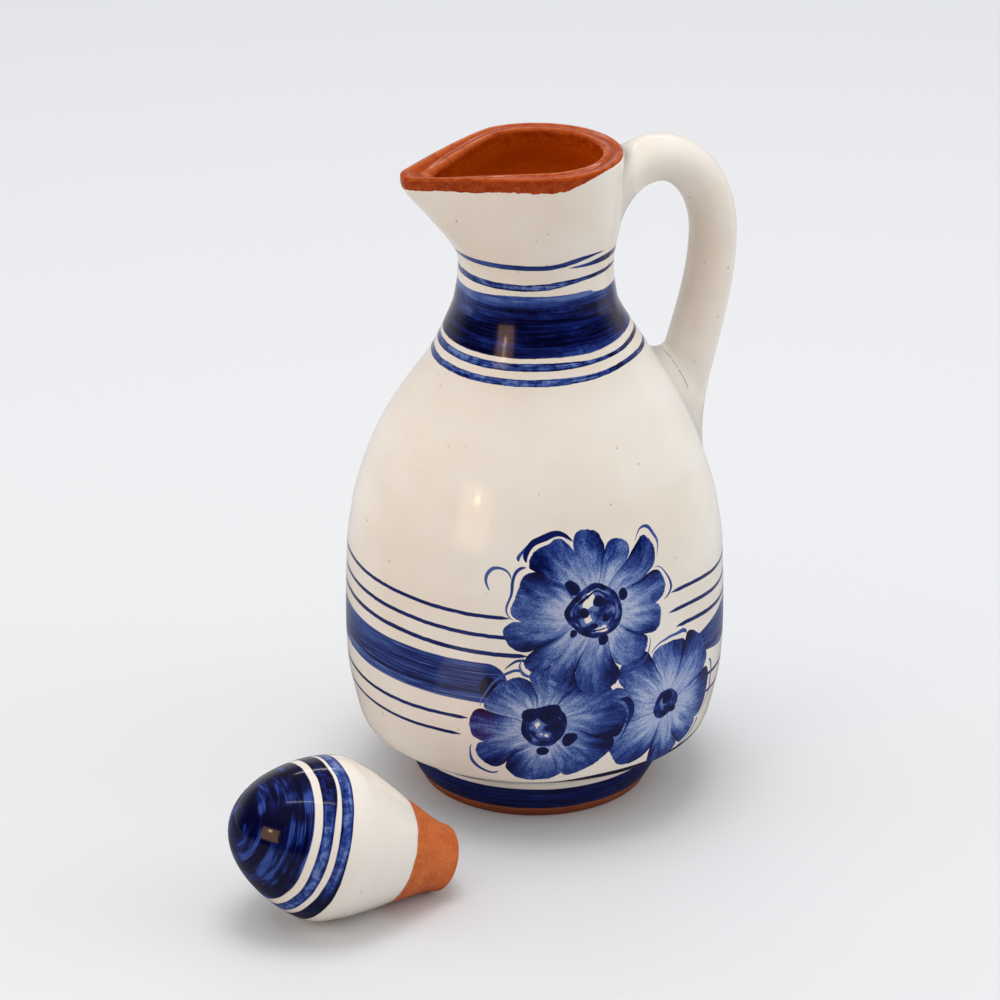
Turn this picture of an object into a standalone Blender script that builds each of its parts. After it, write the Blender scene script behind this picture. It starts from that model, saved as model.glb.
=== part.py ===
"""Hand-thrown earthenware oil carafe: thrown vessel, pulled handle and loose bulb stopper.

Metres, +Z up. The origin is the centre of the flat foot, on the axis that the vessel was
thrown on. The spout points along -X, the handle along +X and the painted front faces -Y.
The stopper lies on the table beside the spout, as it does when the carafe is in use.
"""

import math

import bmesh
import bpy
import numpy as np
from mathutils import Matrix, Vector

MM = 0.001

# Vessel, outside
FOOT_RADIUS = 34.6 * MM
FOOT_HEIGHT = 12.5 * MM
COVE_RADIUS = 39.7 * MM
BELLY_RADIUS = 58.2 * MM
BELLY_HEIGHT = 52.0 * MM
THROAT_RADIUS = 23.2 * MM
THROAT_HEIGHT = 168.0 * MM
LIP_RADIUS = 26.0 * MM
LIP_HEIGHT = 203.0 * MM

# Vessel, inside
WALL = 4.5 * MM
BASE = 9.0 * MM
FLOOR_FILLET = 9.0 * MM

# Lip, rolled thicker than the wall
LIP_WIDTH = 6.5 * MM
LIP_EDGE = 1.6 * MM
LIP_ROLL = 3.6 * MM
LIP_SWELL = 9.0 * MM
MOUTH_RADIUS = LIP_RADIUS - LIP_WIDTH

# Spout, pulled from the round lip
SPOUT_LENGTH = 16.0 * MM
SPOUT_REACH = LIP_RADIUS + SPOUT_LENGTH
SPOUT_TIP = 6.2 * MM
CHANNEL_TIP = 3.4 * MM
SPOUT_DEPTH = 32.0 * MM
SPOUT_EDGE = 3.2 * MM
SPOUT_DROP = 2.2 * MM
FLANK_SPREAD = math.radians(22)
TROUGH_DIP = 2.2 * MM
TROUGH_SETBACK = 3.6 * MM
TROUGH_RUN = 15.0 * MM

# Swelling of the shoulder, where the clay of the handle's lower root was smoothed upwards
SWELL_DEPTH = 2.9 * MM
SWELL_HEIGHT = 137.0 * MM
SWELL_RISE = 22.0 * MM
SWELL_FALL = 34.0 * MM
SWELL_SPREAD = math.radians(52)

# Handle, along its middle line
HANDLE_WIDTH = 16.4 * MM
HANDLE_THICKNESS = 14.2 * MM
HANDLE_SWELL = 1.10
CREST_BELOW_LIP = 6.6 * MM
CREST_FROM_NECK = 12.0 * MM
FINGER_ROOM = 26.5 * MM
FALL_FROM_CREST = 25.4 * MM
CREST_HEIGHT = LIP_HEIGHT - CREST_BELOW_LIP
HANDLE_REACH = THROAT_RADIUS + FINGER_ROOM + HANDLE_THICKNESS / 2
ROOT_PULL = 0.4
ROOT_CLIMB = 0.62
SHOULDER_PULL = 0.36
SHOULDER_OFF = 1.4 * MM

# Handle roots, where the clay is smoothed out over the vessel
UPPER_ROOT_BELOW_LIP = 11.0 * MM
UPPER_ROOT_HEIGHT = LIP_HEIGHT - UPPER_ROOT_BELOW_LIP
UPPER_ROOT_RISE = 8.6 * MM
UPPER_ROOT_TAIL = 17.0 * MM
UPPER_ROOT_HALF_WIDTH = 16.5 * MM
UPPER_FLARE = 11.5 * MM
LOWER_ROOT_HEIGHT = 119.0 * MM
LOWER_ROOT_RISE = 17.5 * MM
LOWER_ROOT_TAIL = 26.0 * MM
LOWER_ROOT_HALF_WIDTH = 12.0 * MM
LOWER_FLARE = 15.5 * MM
ROOT_EDGE_ANGLE = math.radians(16)
CLEARANCE = 0.3 * MM

# Stopper, whose plug tapers until it seats in the mouth
BULB_OVERHANG = 5.1 * MM
PLUG_PLAY = 9.5 * MM
BULB_RADIUS = MOUTH_RADIUS + BULB_OVERHANG
PLUG_END_RADIUS = MOUTH_RADIUS - PLUG_PLAY
CROWN_LENGTH = 29.4 * MM
CROWN_POINT = 1.43
PLUG_LENGTH = 41.0 * MM
PLUG_EDGE = 1.6 * MM
VENT_RADIUS = 5.0 * MM
VENT_DEPTH = 28.0 * MM
VENT_CONE = 2.5 * MM
VENT_TAPER = 1.5 * MM
STOPPER_TO_SPOUT_SIDE = 90.0 * MM
STOPPER_TO_FRONT = 67.0 * MM
STOPPER_HEADING = math.radians(4.6)

# Outline shapes, each as (share of the height, share of the change in radius)
FOOT_SHAPE = ((0, 0), (0.09, 0.17), (0.28, 0.45), (0.64, 0.86), (1, 1))
UNDERSIDE_SHAPE = ((0, 0), (0.09, 0.24), (0.24, 0.755), (0.443, 0.875), (0.7, 0.973), (1, 1))
SHOULDER_SHAPE = (
    (0, 0), (0.22, 0.02), (0.34, 0.075), (0.46, 0.19), (0.57, 0.355),
    (0.66, 0.54), (0.74, 0.725), (0.83, 0.87), (0.91, 0.965), (1, 1),
)
NECK_SHAPE = ((0, 0), (0.15, 0.2), (0.3, 0.56), (0.5, 0.87), (0.75, 0.99), (1, 1))
SPOUT_SHAPE = (
    (0, 0), (0.16, 0.08), (0.28, 0.18), (0.4, 0.32), (0.67, 0.67), (0.85, 0.88), (1, 1),
)
PLUG_SHAPE = ((0, 0), (0.38, 0.355), (0.62, 0.665), (0.83, 0.89), (1, 1))

# Mesh counts and tolerances
VESSEL_SIDES = 48
OUTSIDE_RINGS = 38
INSIDE_RINGS = 26
EDGE_RINGS = 3
HANDLE_SIDES = 20
HANDLE_RINGS = 18
FLARE_RINGS = 5
CAP_RINGS = 3
STOPPER_SIDES = 40
CROWN_RINGS = 10
PLUG_RINGS = 8
PATH_SAMPLES = 40
OUTLINE_SAMPLES = 600
WALL_SAMPLES = 41
STEEPEST_WALL = math.radians(80)
RING_PER_TURN = 9.0 * MM
SLOPE_STEP = 0.2 * MM
TURN_STEP = math.radians(0.5)
WELD = 0.01 * MM
SHARP_ANGLE = math.radians(40)
QUARTER_BEND = (math.sqrt(2) - 1) * 4 / 3

# Finishes: colour, roughness, metallic
FINISHES = {
    "cream_glaze": ((0.78, 0.72, 0.64), 0.12, 0.0),
    "clear_glaze_on_clay": ((0.36, 0.09, 0.02), 0.15, 0.0),
    "bare_clay": ((0.48, 0.15, 0.05), 0.75, 0.0),
    "cobalt_glaze": ((0.03, 0.05, 0.22), 0.15, 0.0),
}
BARE_FOOT = 3.6 * MM
BLUE_FOOT = 11.3 * MM
CLAY_LIP = 5.0 * MM
BLUE_CROWN = 14.8 * MM
BARE_PLUG = 18.4 * MM


def clear_scene():
    for obj in list(bpy.data.objects):
        bpy.data.objects.remove(obj, do_unlink=True)


def curve_through(stations):
    """A smooth curve through the stations that never swings past them."""
    along, value = np.array(stations, float).T
    step = np.diff(along)
    rise = np.diff(value) / step
    slope = np.zeros(len(along))
    same_way = rise[:-1] * rise[1:] > 0
    total = np.where(same_way, rise[:-1] + rise[1:], 1)
    slope[1:-1] = np.where(same_way, 2 * rise[:-1] * rise[1:] / total, 0)

    def at(place):
        place = np.clip(place, along[0], along[-1])
        i = np.clip(np.searchsorted(along, place) - 1, 0, len(step) - 1)
        t = (place - along[i]) / step[i]
        bend = value[i] * (1 + 2 * t) * (1 - t) ** 2 + value[i + 1] * t**2 * (3 - 2 * t)
        lean = slope[i] * t * (1 - t) ** 2 - slope[i + 1] * t**2 * (1 - t)
        return bend + lean * step[i]

    return at


def mix(a, b, share):
    return a + (b - a) * share


def smooth_share(value):
    share = np.clip(value, 0, 1)
    return share * share * (3 - 2 * share)


def stretch_of(shape, low, high, first, last):
    """The stations of one stretch of the outline, from its shape and its end sizes."""
    return [(mix(low, high, up), mix(first, last, out)) for up, out in shape]


def outline():
    """The vessel's outer radius as a curve over height."""
    stations = stretch_of(FOOT_SHAPE, 0, FOOT_HEIGHT, FOOT_RADIUS, COVE_RADIUS)
    stations += stretch_of(
        UNDERSIDE_SHAPE[1:], FOOT_HEIGHT, BELLY_HEIGHT, COVE_RADIUS, BELLY_RADIUS
    )
    stations += stretch_of(
        SHOULDER_SHAPE[1:], BELLY_HEIGHT, THROAT_HEIGHT, BELLY_RADIUS, THROAT_RADIUS
    )
    stations += stretch_of(
        NECK_SHAPE[1:], THROAT_HEIGHT, LIP_HEIGHT, THROAT_RADIUS, LIP_RADIUS
    )
    return curve_through(stations)


OUTER_RADIUS = outline()
SPOUT_PULL = curve_through(SPOUT_SHAPE)


def wall_at(height):
    """The wall thickness, which grows to the width of the rolled lip."""
    swelling = height - (LIP_HEIGHT - LIP_ROLL - LIP_SWELL)
    return mix(WALL, LIP_WIDTH, smooth_share(swelling / LIP_SWELL))


def inner_radius(height):
    """The inside of the wall, kept at the wall's thickness square to the outside."""
    wall = wall_at(height)
    lean = np.linspace(-STEEPEST_WALL, STEEPEST_WALL, WALL_SAMPLES)
    near = np.clip(height + wall * np.sin(lean), 0, LIP_HEIGHT)
    radius = np.min(OUTER_RADIUS(near) - wall * np.cos(lean))
    up_corner = np.clip((height - BASE) / FLOOR_FILLET, 0, 1)
    return radius - FLOOR_FILLET * (1 - math.sqrt(1 - (1 - up_corner) ** 2))


def ring_heights(radius_at, low, high, count):
    """Heights for the rings of a wall, closest where its outline turns."""
    heights = np.linspace(low, high, OUTLINE_SAMPLES)
    radii = np.array([radius_at(height) for height in heights])
    run = np.hypot(np.diff(heights), np.diff(radii))
    lean = np.arctan2(np.diff(radii), np.diff(heights))
    run[1:] += RING_PER_TURN * np.abs(np.diff(lean))
    travelled = np.concatenate([[0], np.cumsum(run)])
    return np.interp(np.linspace(0, travelled[-1], count), travelled, heights)


def lip_edge(centre_radius, sign):
    """Points of one rounded edge of the lip; sign is 1 outside and -1 inside."""
    turns = np.linspace(0, math.pi / 2, EDGE_RINGS + 1)
    if sign < 0:
        turns = turns[::-1]
    top = LIP_HEIGHT - LIP_EDGE
    return [
        (centre_radius + sign * LIP_EDGE * math.cos(turn), top + LIP_EDGE * math.sin(turn))
        for turn in turns
    ]


def vessel_profile():
    """The thrown section, from the middle of the base round the lip to the floor inside."""
    edge_height = LIP_HEIGHT - LIP_EDGE
    outside = ring_heights(OUTER_RADIUS, 0, edge_height, OUTSIDE_RINGS)
    inside = ring_heights(inner_radius, BASE, edge_height, INSIDE_RINGS)[::-1]
    profile = [(0, 0)]
    profile += [(OUTER_RADIUS(height), height) for height in outside[:-1]]
    profile += lip_edge(OUTER_RADIUS(edge_height) - LIP_EDGE, 1)
    profile += lip_edge(inner_radius(edge_height) + LIP_EDGE, -1)
    profile += [(inner_radius(height), height) for height in inside[1:]]
    return profile + [(0, BASE)]


def pull_spout(point):
    """Moves a point of the round mouth to its place in the pulled spout."""
    radius = math.hypot(point.x, point.y)
    start = LIP_HEIGHT - SPOUT_DEPTH
    if radius < WALL or point.z <= start:
        return point
    share_up = (point.z - start) / (SPOUT_DEPTH - SPOUT_EDGE)
    from_spout = abs(math.atan2(point.y, -point.x))
    depth = (OUTER_RADIUS(point.z) - radius) / wall_at(point.z)
    depth = min(max(depth, 0), 1)
    tip = mix(SPOUT_TIP, CHANNEL_TIP, depth)
    reach = SPOUT_REACH - LIP_WIDTH * depth - tip
    flank = math.acos((LIP_RADIUS - SPOUT_TIP) / (SPOUT_REACH - SPOUT_TIP))
    round_spout = smooth_share((flank - from_spout) / (2 * FLANK_SPREAD) + 0.5)
    pull = SPOUT_PULL(min(share_up, 1)) * round_spout
    round_radius = mix(radius, tip, pull)
    trough = depth * pull * smooth_share(1 - (LIP_HEIGHT - point.z) / TROUGH_RUN)
    drop = SPOUT_DROP * pull * smooth_share(2 * share_up - 1)
    return Vector((
        point.x / radius * round_radius - reach * pull + TROUGH_SETBACK * trough,
        point.y / radius * round_radius,
        point.z - drop - TROUGH_DIP * trough,
    ))


def finish_mesh(bm, name):
    """Makes the named object of a closed bmesh, with outward faces and smooth shading."""
    bmesh.ops.remove_doubles(bm, verts=bm.verts, dist=WELD)
    bmesh.ops.recalc_face_normals(bm, faces=bm.faces)
    bmesh.ops.triangulate(bm, faces=[face for face in bm.faces if len(face.verts) > 4])
    mesh = bpy.data.meshes.new(name)
    bm.to_mesh(mesh)
    bm.free()
    mesh.shade_smooth()
    mesh.set_sharp_from_angle(angle=SHARP_ANGLE)
    obj = bpy.data.objects.new(name, mesh)
    bpy.context.scene.collection.objects.link(obj)
    return obj


def finish_material(name):
    colour, roughness, metallic = FINISHES[name]
    material = bpy.data.materials.get(name) or bpy.data.materials.new(name)
    material.use_nodes = True
    shader = material.node_tree.nodes["Principled BSDF"]
    shader.inputs["Base Color"].default_value = (*colour, 1)
    shader.inputs["Roughness"].default_value = roughness
    shader.inputs["Metallic"].default_value = metallic
    material.diffuse_color = (*colour, 1)
    return material


def glaze(obj, finish_of):
    """Gives each face the finish that finish_of names for its centre."""
    names = []
    for face in obj.data.polygons:
        name = finish_of(face.center)
        if name not in names:
            names.append(name)
            obj.data.materials.append(finish_material(name))
        face.material_index = names.index(name)


def turned(profile, sides):
    """A closed body turned round the Z axis from (radius, height) points."""
    bm = bmesh.new()
    points = [bm.verts.new((-radius, 0, height)) for radius, height in profile]
    edges = [bm.edges.new(pair) for pair in zip(points, points[1:])]
    bmesh.ops.spin(
        bm, geom=points + edges, axis=(0, 0, 1), cent=(0, 0, 0),
        angle=math.tau, steps=sides, use_merge=True,
    )
    return bm


def shoulder_swell(turn, height):
    """How far the shoulder swells outwards, at this turn from the handle's side."""
    up = height - SWELL_HEIGHT
    reach = SWELL_RISE if up > 0 else SWELL_FALL
    return SWELL_DEPTH * smooth_share(1 - math.hypot(up / reach, turn / SWELL_SPREAD))


def swell_shoulder(point):
    """Moves a point of the outside out with the swelling, and leaves one of the inside."""
    radius = math.hypot(point.x, point.y)
    if radius < OUTER_RADIUS(point.z) - WALL / 2:
        return point
    out = shoulder_swell(math.atan2(point.y, point.x), point.z) / radius
    return Vector((point.x * (1 + out), point.y * (1 + out), point.z))


def make_vessel():
    bm = turned(vessel_profile(), VESSEL_SIDES)
    for vert in bm.verts:
        if vert.co.z > 0:
            vert.co = pull_spout(swell_shoulder(vert.co))

    def finish_of(centre):
        radius = math.hypot(centre.x, centre.y)
        above_spout = centre.z > LIP_HEIGHT - CLAY_LIP
        if centre.z < BARE_FOOT and radius > BASE:
            return "bare_clay"
        if above_spout or radius < OUTER_RADIUS(centre.z) - WALL / 2:
            return "clear_glaze_on_clay"
        return "cobalt_glaze" if centre.z < BLUE_FOOT else "cream_glaze"

    vessel = finish_mesh(bm, "vessel")
    glaze(vessel, finish_of)
    return vessel


def on_vessel(turn, height, off):
    """A point off the vessel's outside by off, at this turn from the handle's side."""

    def surface(turn, height):
        radius = float(OUTER_RADIUS(height)) + shoulder_swell(turn, height)
        return Vector((radius * math.cos(turn), radius * math.sin(turn), height))

    along = surface(turn + TURN_STEP, height) - surface(turn - TURN_STEP, height)
    up = surface(turn, height + SLOPE_STEP) - surface(turn, height - SLOPE_STEP)
    normal = along.cross(up).normalized()
    return surface(turn, height) + normal * off, normal


def bezier(start, start_handle, end_handle, end, t):
    a, b, c, d = (Vector(point) for point in (start, start_handle, end_handle, end))
    s = 1 - t
    return a * s**3 + b * 3 * s * s * t + c * 3 * s * t * t + d * t**3


def handle_path():
    """The middle line from the neck over the crest and down to the shoulder."""
    neck = float(OUTER_RADIUS(UPPER_ROOT_HEIGHT))
    root = (neck, 0, UPPER_ROOT_HEIGHT)
    crest = (neck + CREST_FROM_NECK, 0, CREST_HEIGHT)
    outermost = (HANDLE_REACH, 0, CREST_HEIGHT - FALL_FROM_CREST)
    shoulder = (float(OUTER_RADIUS(LOWER_ROOT_HEIGHT)) + SHOULDER_OFF, 0, LOWER_ROOT_HEIGHT)
    climb = ROOT_CLIMB * (crest[2] - root[2])
    pull = ROOT_PULL * CREST_FROM_NECK
    reach = QUARTER_BEND * (outermost[0] - crest[0])
    drop = QUARTER_BEND * FALL_FROM_CREST
    lean = SHOULDER_PULL * (outermost[0] - shoulder[0])
    fall = SHOULDER_PULL * (outermost[2] - shoulder[2])
    stretches = (
        (root, (root[0] + pull, 0, root[2] + climb), (crest[0] - pull, 0, crest[2]), crest),
        (
            crest,
            (crest[0] + reach, 0, crest[2]),
            (outermost[0], 0, outermost[2] + drop),
            outermost,
        ),
        (
            outermost,
            (outermost[0], 0, outermost[2] - fall),
            (shoulder[0] + lean, 0, shoulder[2] + fall),
            shoulder,
        ),
    )
    shares = np.linspace(0, 1, PATH_SAMPLES)[:-1]
    points = [bezier(*stretch, t) for stretch in stretches for t in shares]
    return np.array(points + [Vector(shoulder)])


def along_path(points):
    """Functions for the place and the direction at a distance along the path."""
    lengths = np.concatenate([[0], np.cumsum(np.linalg.norm(np.diff(points, axis=0), axis=1))])

    def place(distance):
        return Vector([np.interp(distance, lengths, points[:, axis]) for axis in range(3)])

    def heading(distance):
        ahead = place(min(distance + MM, lengths[-1]))
        return (ahead - place(max(distance - MM, 0))).normalized()

    return place, heading, lengths[-1]


def handle_section(middle, heading, swell):
    """An oval ring square to the handle; its first point is on the side away from the hand."""
    across = Vector((0, 1, 0))
    outward = across.cross(heading) * -1
    ring = []
    for turn in np.linspace(0, math.tau, HANDLE_SIDES, endpoint=False):
        depth = outward * (0.5 * HANDLE_THICKNESS * swell * math.cos(turn))
        width = across * (0.5 * HANDLE_WIDTH * swell * math.sin(turn))
        ring.append(middle + depth + width)
    return ring


def root_rings(height, first_rise, last_rise, half_width, way_up):
    """Rings on the vessel under a root, from its rim inwards, and their common centre."""
    rings = []
    for share in np.linspace(1, 0, CAP_RINGS + 1)[:-1]:
        ring = []
        for turn in np.linspace(0, math.tau, HANDLE_SIDES, endpoint=False):
            rise = first_rise if math.cos(turn) > 0 else last_rise
            level = height + way_up * rise * share * math.cos(turn)
            aside = half_width * share * math.sin(turn)
            azimuth = aside / float(OUTER_RADIUS(level))
            ring.append(on_vessel(azimuth, level, CLEARANCE)[0])
        rings.append(ring)
    return rings, on_vessel(0, height, CLEARANCE)[0]


def flare_rings(section, heading, rim, centre):
    """Rings that spread from the handle's section to the rim of its root."""
    rings = []
    for t in np.linspace(0, 1, FLARE_RINGS + 1)[1:-1]:
        ring = []
        for start, end in zip(section, rim):
            length = (end - start).length
            normal = on_vessel(math.atan2(end.y, end.x), end.z, 0)[1]
            spread = end - centre
            spread = (spread - normal * spread.dot(normal)).normalized()
            landing = spread * math.cos(ROOT_EDGE_ANGLE) - normal * math.sin(ROOT_EDGE_ANGLE)
            ring.append(
                start * ((1 + 2 * t) * (1 - t) ** 2)
                + heading * (length * t * (1 - t) ** 2)
                + end * (t * t * (3 - 2 * t))
                - landing * (length * t * t * (1 - t))
            )
        rings.append(ring)
    return rings


def skinned(rings, first_centre, last_centre):
    """A closed body over rings of equal count, fanned in at both ends."""
    bm = bmesh.new()
    loops = [[bm.verts.new(point) for point in ring] for ring in rings]
    count = len(loops[0])
    for ring, following in zip(loops, loops[1:]):
        for i in range(count):
            j = (i + 1) % count
            bm.faces.new((ring[i], ring[j], following[j], following[i]))
    for ring, centre in ((loops[0], first_centre), (loops[-1], last_centre)):
        hub = bm.verts.new(centre)
        for i in range(count):
            bm.faces.new((hub, ring[i], ring[(i + 1) % count]))
    return bm


def make_handle():
    place, heading, length = along_path(handle_path())
    upper, upper_centre = root_rings(
        UPPER_ROOT_HEIGHT, UPPER_ROOT_RISE, UPPER_ROOT_TAIL, UPPER_ROOT_HALF_WIDTH, 1
    )
    lower, lower_centre = root_rings(
        LOWER_ROOT_HEIGHT, LOWER_ROOT_TAIL, LOWER_ROOT_RISE, LOWER_ROOT_HALF_WIDTH, -1
    )
    distances = np.linspace(UPPER_FLARE, length - LOWER_FLARE, HANDLE_RINGS)
    tube = []
    for distance in distances:
        swell = mix(1, HANDLE_SWELL, smooth_share(2 * distance / length - 1))
        tube.append(handle_section(place(distance), heading(distance), swell))
    upper_flare = flare_rings(tube[0], -heading(distances[0]), upper[0], upper_centre)
    lower_flare = flare_rings(tube[-1], heading(distances[-1]), lower[0], lower_centre)
    rings = upper[::-1] + upper_flare[::-1] + tube + lower_flare + lower
    handle = finish_mesh(skinned(rings, upper_centre, lower_centre), "handle")
    glaze(handle, lambda centre: "cream_glaze")
    return handle


def crown_rise(turn):
    """The height share where the pointed dome has the radius share cos(turn)."""
    return (1 - math.cos(turn) ** 2) ** (1 / CROWN_POINT)


def stopper_profile():
    """The turned bulb, from the end of the plug up to the tip, with its vent hole."""
    plug = curve_through(stretch_of(PLUG_SHAPE, 0, PLUG_LENGTH, PLUG_END_RADIUS, BULB_RADIUS))
    profile = [
        (0, VENT_DEPTH),
        (VENT_RADIUS - VENT_TAPER, VENT_DEPTH - VENT_CONE),
        (VENT_RADIUS, 0),
    ]
    for turn in np.linspace(0, math.pi / 2, EDGE_RINGS + 1)[:-1]:
        radius = float(plug(PLUG_EDGE)) - PLUG_EDGE * (1 - math.sin(turn))
        profile.append((radius, PLUG_EDGE * (1 - math.cos(turn))))
    for height in np.linspace(PLUG_EDGE, PLUG_LENGTH, PLUG_RINGS + 1):
        profile.append((float(plug(height)), height))
    for turn in np.linspace(0, math.pi / 2, CROWN_RINGS + 1)[1:-1]:
        height = PLUG_LENGTH + CROWN_LENGTH * crown_rise(turn)
        profile.append((BULB_RADIUS * math.cos(turn), height))
    profile.append((0, PLUG_LENGTH + CROWN_LENGTH))
    return profile


def lying_tilt(profile):
    """How far the stopper's axis tips up when it lies on its bulb and its plug's edge."""
    edge = [point for point in profile if point[1] <= PLUG_EDGE]
    edge_radius, edge_height = max(edge)
    return max(
        math.atan2(radius - edge_radius, height - edge_height)
        for radius, height in profile
        if height > PLUG_LENGTH / 2
    )


def make_stopper():
    profile = stopper_profile()
    bm = turned(profile, STOPPER_SIDES)
    to_tip = Matrix.Rotation(-math.pi / 2 + lying_tilt(profile), 4, "Y")
    widest = Matrix.Translation((0, 0, -PLUG_LENGTH))
    heading = Matrix.Rotation(STOPPER_HEADING, 4, "Z")
    bmesh.ops.transform(bm, matrix=heading @ to_tip @ widest, verts=bm.verts)
    lowest = min(vert.co.z for vert in bm.verts)
    bmesh.ops.transform(bm, matrix=Matrix.Translation((0, 0, -lowest)), verts=bm.verts)
    axis = heading @ to_tip @ Vector((0, 0, 1))
    middle = Vector((0, 0, -lowest))

    def finish_of(centre):
        along = (centre - middle).dot(axis) + PLUG_LENGTH
        if along < BARE_PLUG:
            return "bare_clay"
        tip = PLUG_LENGTH + CROWN_LENGTH
        return "cobalt_glaze" if along > tip - BLUE_CROWN else "cream_glaze"

    stopper = finish_mesh(bm, "stopper")
    glaze(stopper, finish_of)
    stopper.location = (-STOPPER_TO_SPOUT_SIDE, -STOPPER_TO_FRONT, 0)
    return stopper


def main():
    clear_scene()
    make_vessel()
    make_handle()
    make_stopper()


main()
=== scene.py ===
"""Looks of a hand-thrown earthenware oil carafe with a painted front and a loose stopper.

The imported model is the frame. Each clay piece replaces its node with a finer surface in the
same place, and gets its glaze, bare clay and brushwork from nodes. Sizes are millimetres in
the row's frame: +Z up, the spout towards -X, the handle towards +X, the painted front to -Y.
"""

import logging
import math
from dataclasses import dataclass, field
from enum import Enum
from typing import Callable, Sequence

import bmesh
import bpy
import numpy as np
from mathutils import Matrix, Vector
from mathutils.bvhtree import BVHTree


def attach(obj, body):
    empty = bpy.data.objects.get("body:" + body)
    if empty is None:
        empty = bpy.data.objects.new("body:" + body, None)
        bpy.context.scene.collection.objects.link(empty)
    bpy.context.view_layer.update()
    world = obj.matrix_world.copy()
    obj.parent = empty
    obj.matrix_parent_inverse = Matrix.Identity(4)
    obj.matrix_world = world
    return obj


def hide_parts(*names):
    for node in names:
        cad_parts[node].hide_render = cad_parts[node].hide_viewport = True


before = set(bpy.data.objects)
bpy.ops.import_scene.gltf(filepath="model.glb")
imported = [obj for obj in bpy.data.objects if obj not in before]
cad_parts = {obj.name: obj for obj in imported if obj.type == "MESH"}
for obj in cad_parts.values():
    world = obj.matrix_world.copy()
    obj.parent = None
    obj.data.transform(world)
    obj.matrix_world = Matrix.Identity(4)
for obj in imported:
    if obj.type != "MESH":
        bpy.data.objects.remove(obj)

MM = 0.001
TO_DEGREES = 180 / math.pi
TO_RADIANS = math.pi / 180
ARC_POINTS = 9
WALL_SAMPLES = 1500
BEND_WEIGHT = 12
log = logging.getLogger("carafe")

Shape = Sequence[tuple[float, float]]
Colour = tuple[float, float, float]
Numbers = np.ndarray | float


def linear(colour: Colour) -> tuple[float, float, float, float]:
    """Turn a colour of 0 to 255 as seen on a screen into the linear values of a shader.

    Args:
        colour: Red, green and blue from 0 to 255.

    Returns:
        Linear red, green, blue and an alpha of 1.
    """
    shares = [part / 255 for part in colour]
    parts = [s / 12.92 if s <= 0.04045 else ((s + 0.055) / 1.055) ** 2.4 for s in shares]
    return (*parts, 1.0)


def mix(low: float, high: float, share: float) -> float:
    """Go from low to high by a share."""
    return low + (high - low) * share


def smooth(value: Numbers) -> Numbers:
    """Ease a share in and out, held between 0 and 1."""
    share = np.clip(value, 0, 1)
    return share * share * (3 - 2 * share)


def arc(
    x: float, z: float, radius: float, first: float, last: float
) -> list[tuple[float, float]]:
    """Lay points round part of a circle.

    Args:
        x: The distance of the circle's middle from the axis.
        z: The height of its middle.
        radius: Its radius.
        first: First angle, in quarter turns up from the outward side.
        last: Last angle.

    Returns:
        The points.
    """
    angles = np.linspace(first, last, ARC_POINTS) * (math.pi / 2)
    return [(x + radius * math.cos(a), z + radius * math.sin(a)) for a in angles]


def link(name: str, data: bpy.types.ID) -> bpy.types.Object:
    """Put data into the scene as an object.

    Args:
        name: The object's name.
        data: Its mesh, lamp or camera.

    Returns:
        The object.
    """
    made = bpy.data.objects.new(name, data)
    bpy.context.scene.collection.objects.link(made)
    return made


def store(mesh: bpy.types.Mesh, layers: dict[str, np.ndarray]) -> None:
    """Store numbers on a mesh's points.

    Args:
        mesh: The mesh.
        layers: A number for each point, by the layer's name.
    """
    for name, values in layers.items():
        layer = mesh.attributes.new(name, "FLOAT", "POINT")
        layer.data.foreach_set("value", values.astype(np.float32))


def face_outwards(mesh: bpy.types.Mesh) -> None:
    """Point all faces outwards and shade them smooth.

    Args:
        mesh: A closed mesh.
    """
    bm = bmesh.new()
    bm.from_mesh(mesh)
    bmesh.ops.recalc_face_normals(bm, faces=bm.faces)
    bm.to_mesh(mesh)
    bm.free()
    mesh.shade_smooth()


class SmoothCurve:
    """A curve through stations that never swings past them."""

    def __init__(self, stations: Shape) -> None:
        """Work out the slope at each station.

        Args:
            stations: Pairs of place and value, with the places rising.
        """
        self.places, self.values = np.array(stations, float).T
        self.steps = np.diff(self.places)
        rises = np.diff(self.values) / self.steps
        same_way = rises[:-1] * rises[1:] > 0
        total = np.where(same_way, rises[:-1] + rises[1:], 1)
        self.slopes = np.zeros(len(self.places))
        self.slopes[1:-1] = np.where(same_way, 2 * rises[:-1] * rises[1:] / total, 0)

    def __call__(self, place: Numbers) -> Numbers:
        """Give the value at one place or at an array of them, or the end value past the ends.

        Args:
            place: One place or an array of them.

        Returns:
            The value there, in the same form.
        """
        place = np.clip(place, self.places[0], self.places[-1])
        i = np.clip(np.searchsorted(self.places, place) - 1, 0, len(self.steps) - 1)
        t = (place - self.places[i]) / self.steps[i]
        rest = self.values[i] * (1 + 2 * t) * (1 - t) ** 2
        rest = rest + self.values[i + 1] * t**2 * (3 - 2 * t)
        lean = self.slopes[i] * t * (1 - t) ** 2 - self.slopes[i + 1] * t**2 * (1 - t)
        return rest + lean * self.steps[i]


class Way:
    """A line through points, read by the distance along it."""

    STEP = 1.0

    def __init__(self, points: np.ndarray) -> None:
        """Measure the line.

        Args:
            points: Places in millimetres, one in a row.
        """
        self.points = points
        steps = np.linalg.norm(np.diff(points, axis=0), axis=1)
        self.lengths = np.concatenate([[0], np.cumsum(steps)])
        self.total = float(self.lengths[-1])

    def place(self, distance: float) -> Vector:
        """Find the point at a distance."""
        return Vector([float(np.interp(distance, self.lengths, axis)) for axis in self.points.T])

    def heading(self, distance: float) -> Vector:
        """Find the direction at a distance."""
        after, before = min(distance + self.STEP, self.total), max(distance - self.STEP, 0)
        return (self.place(after) - self.place(before)).normalized()


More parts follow.
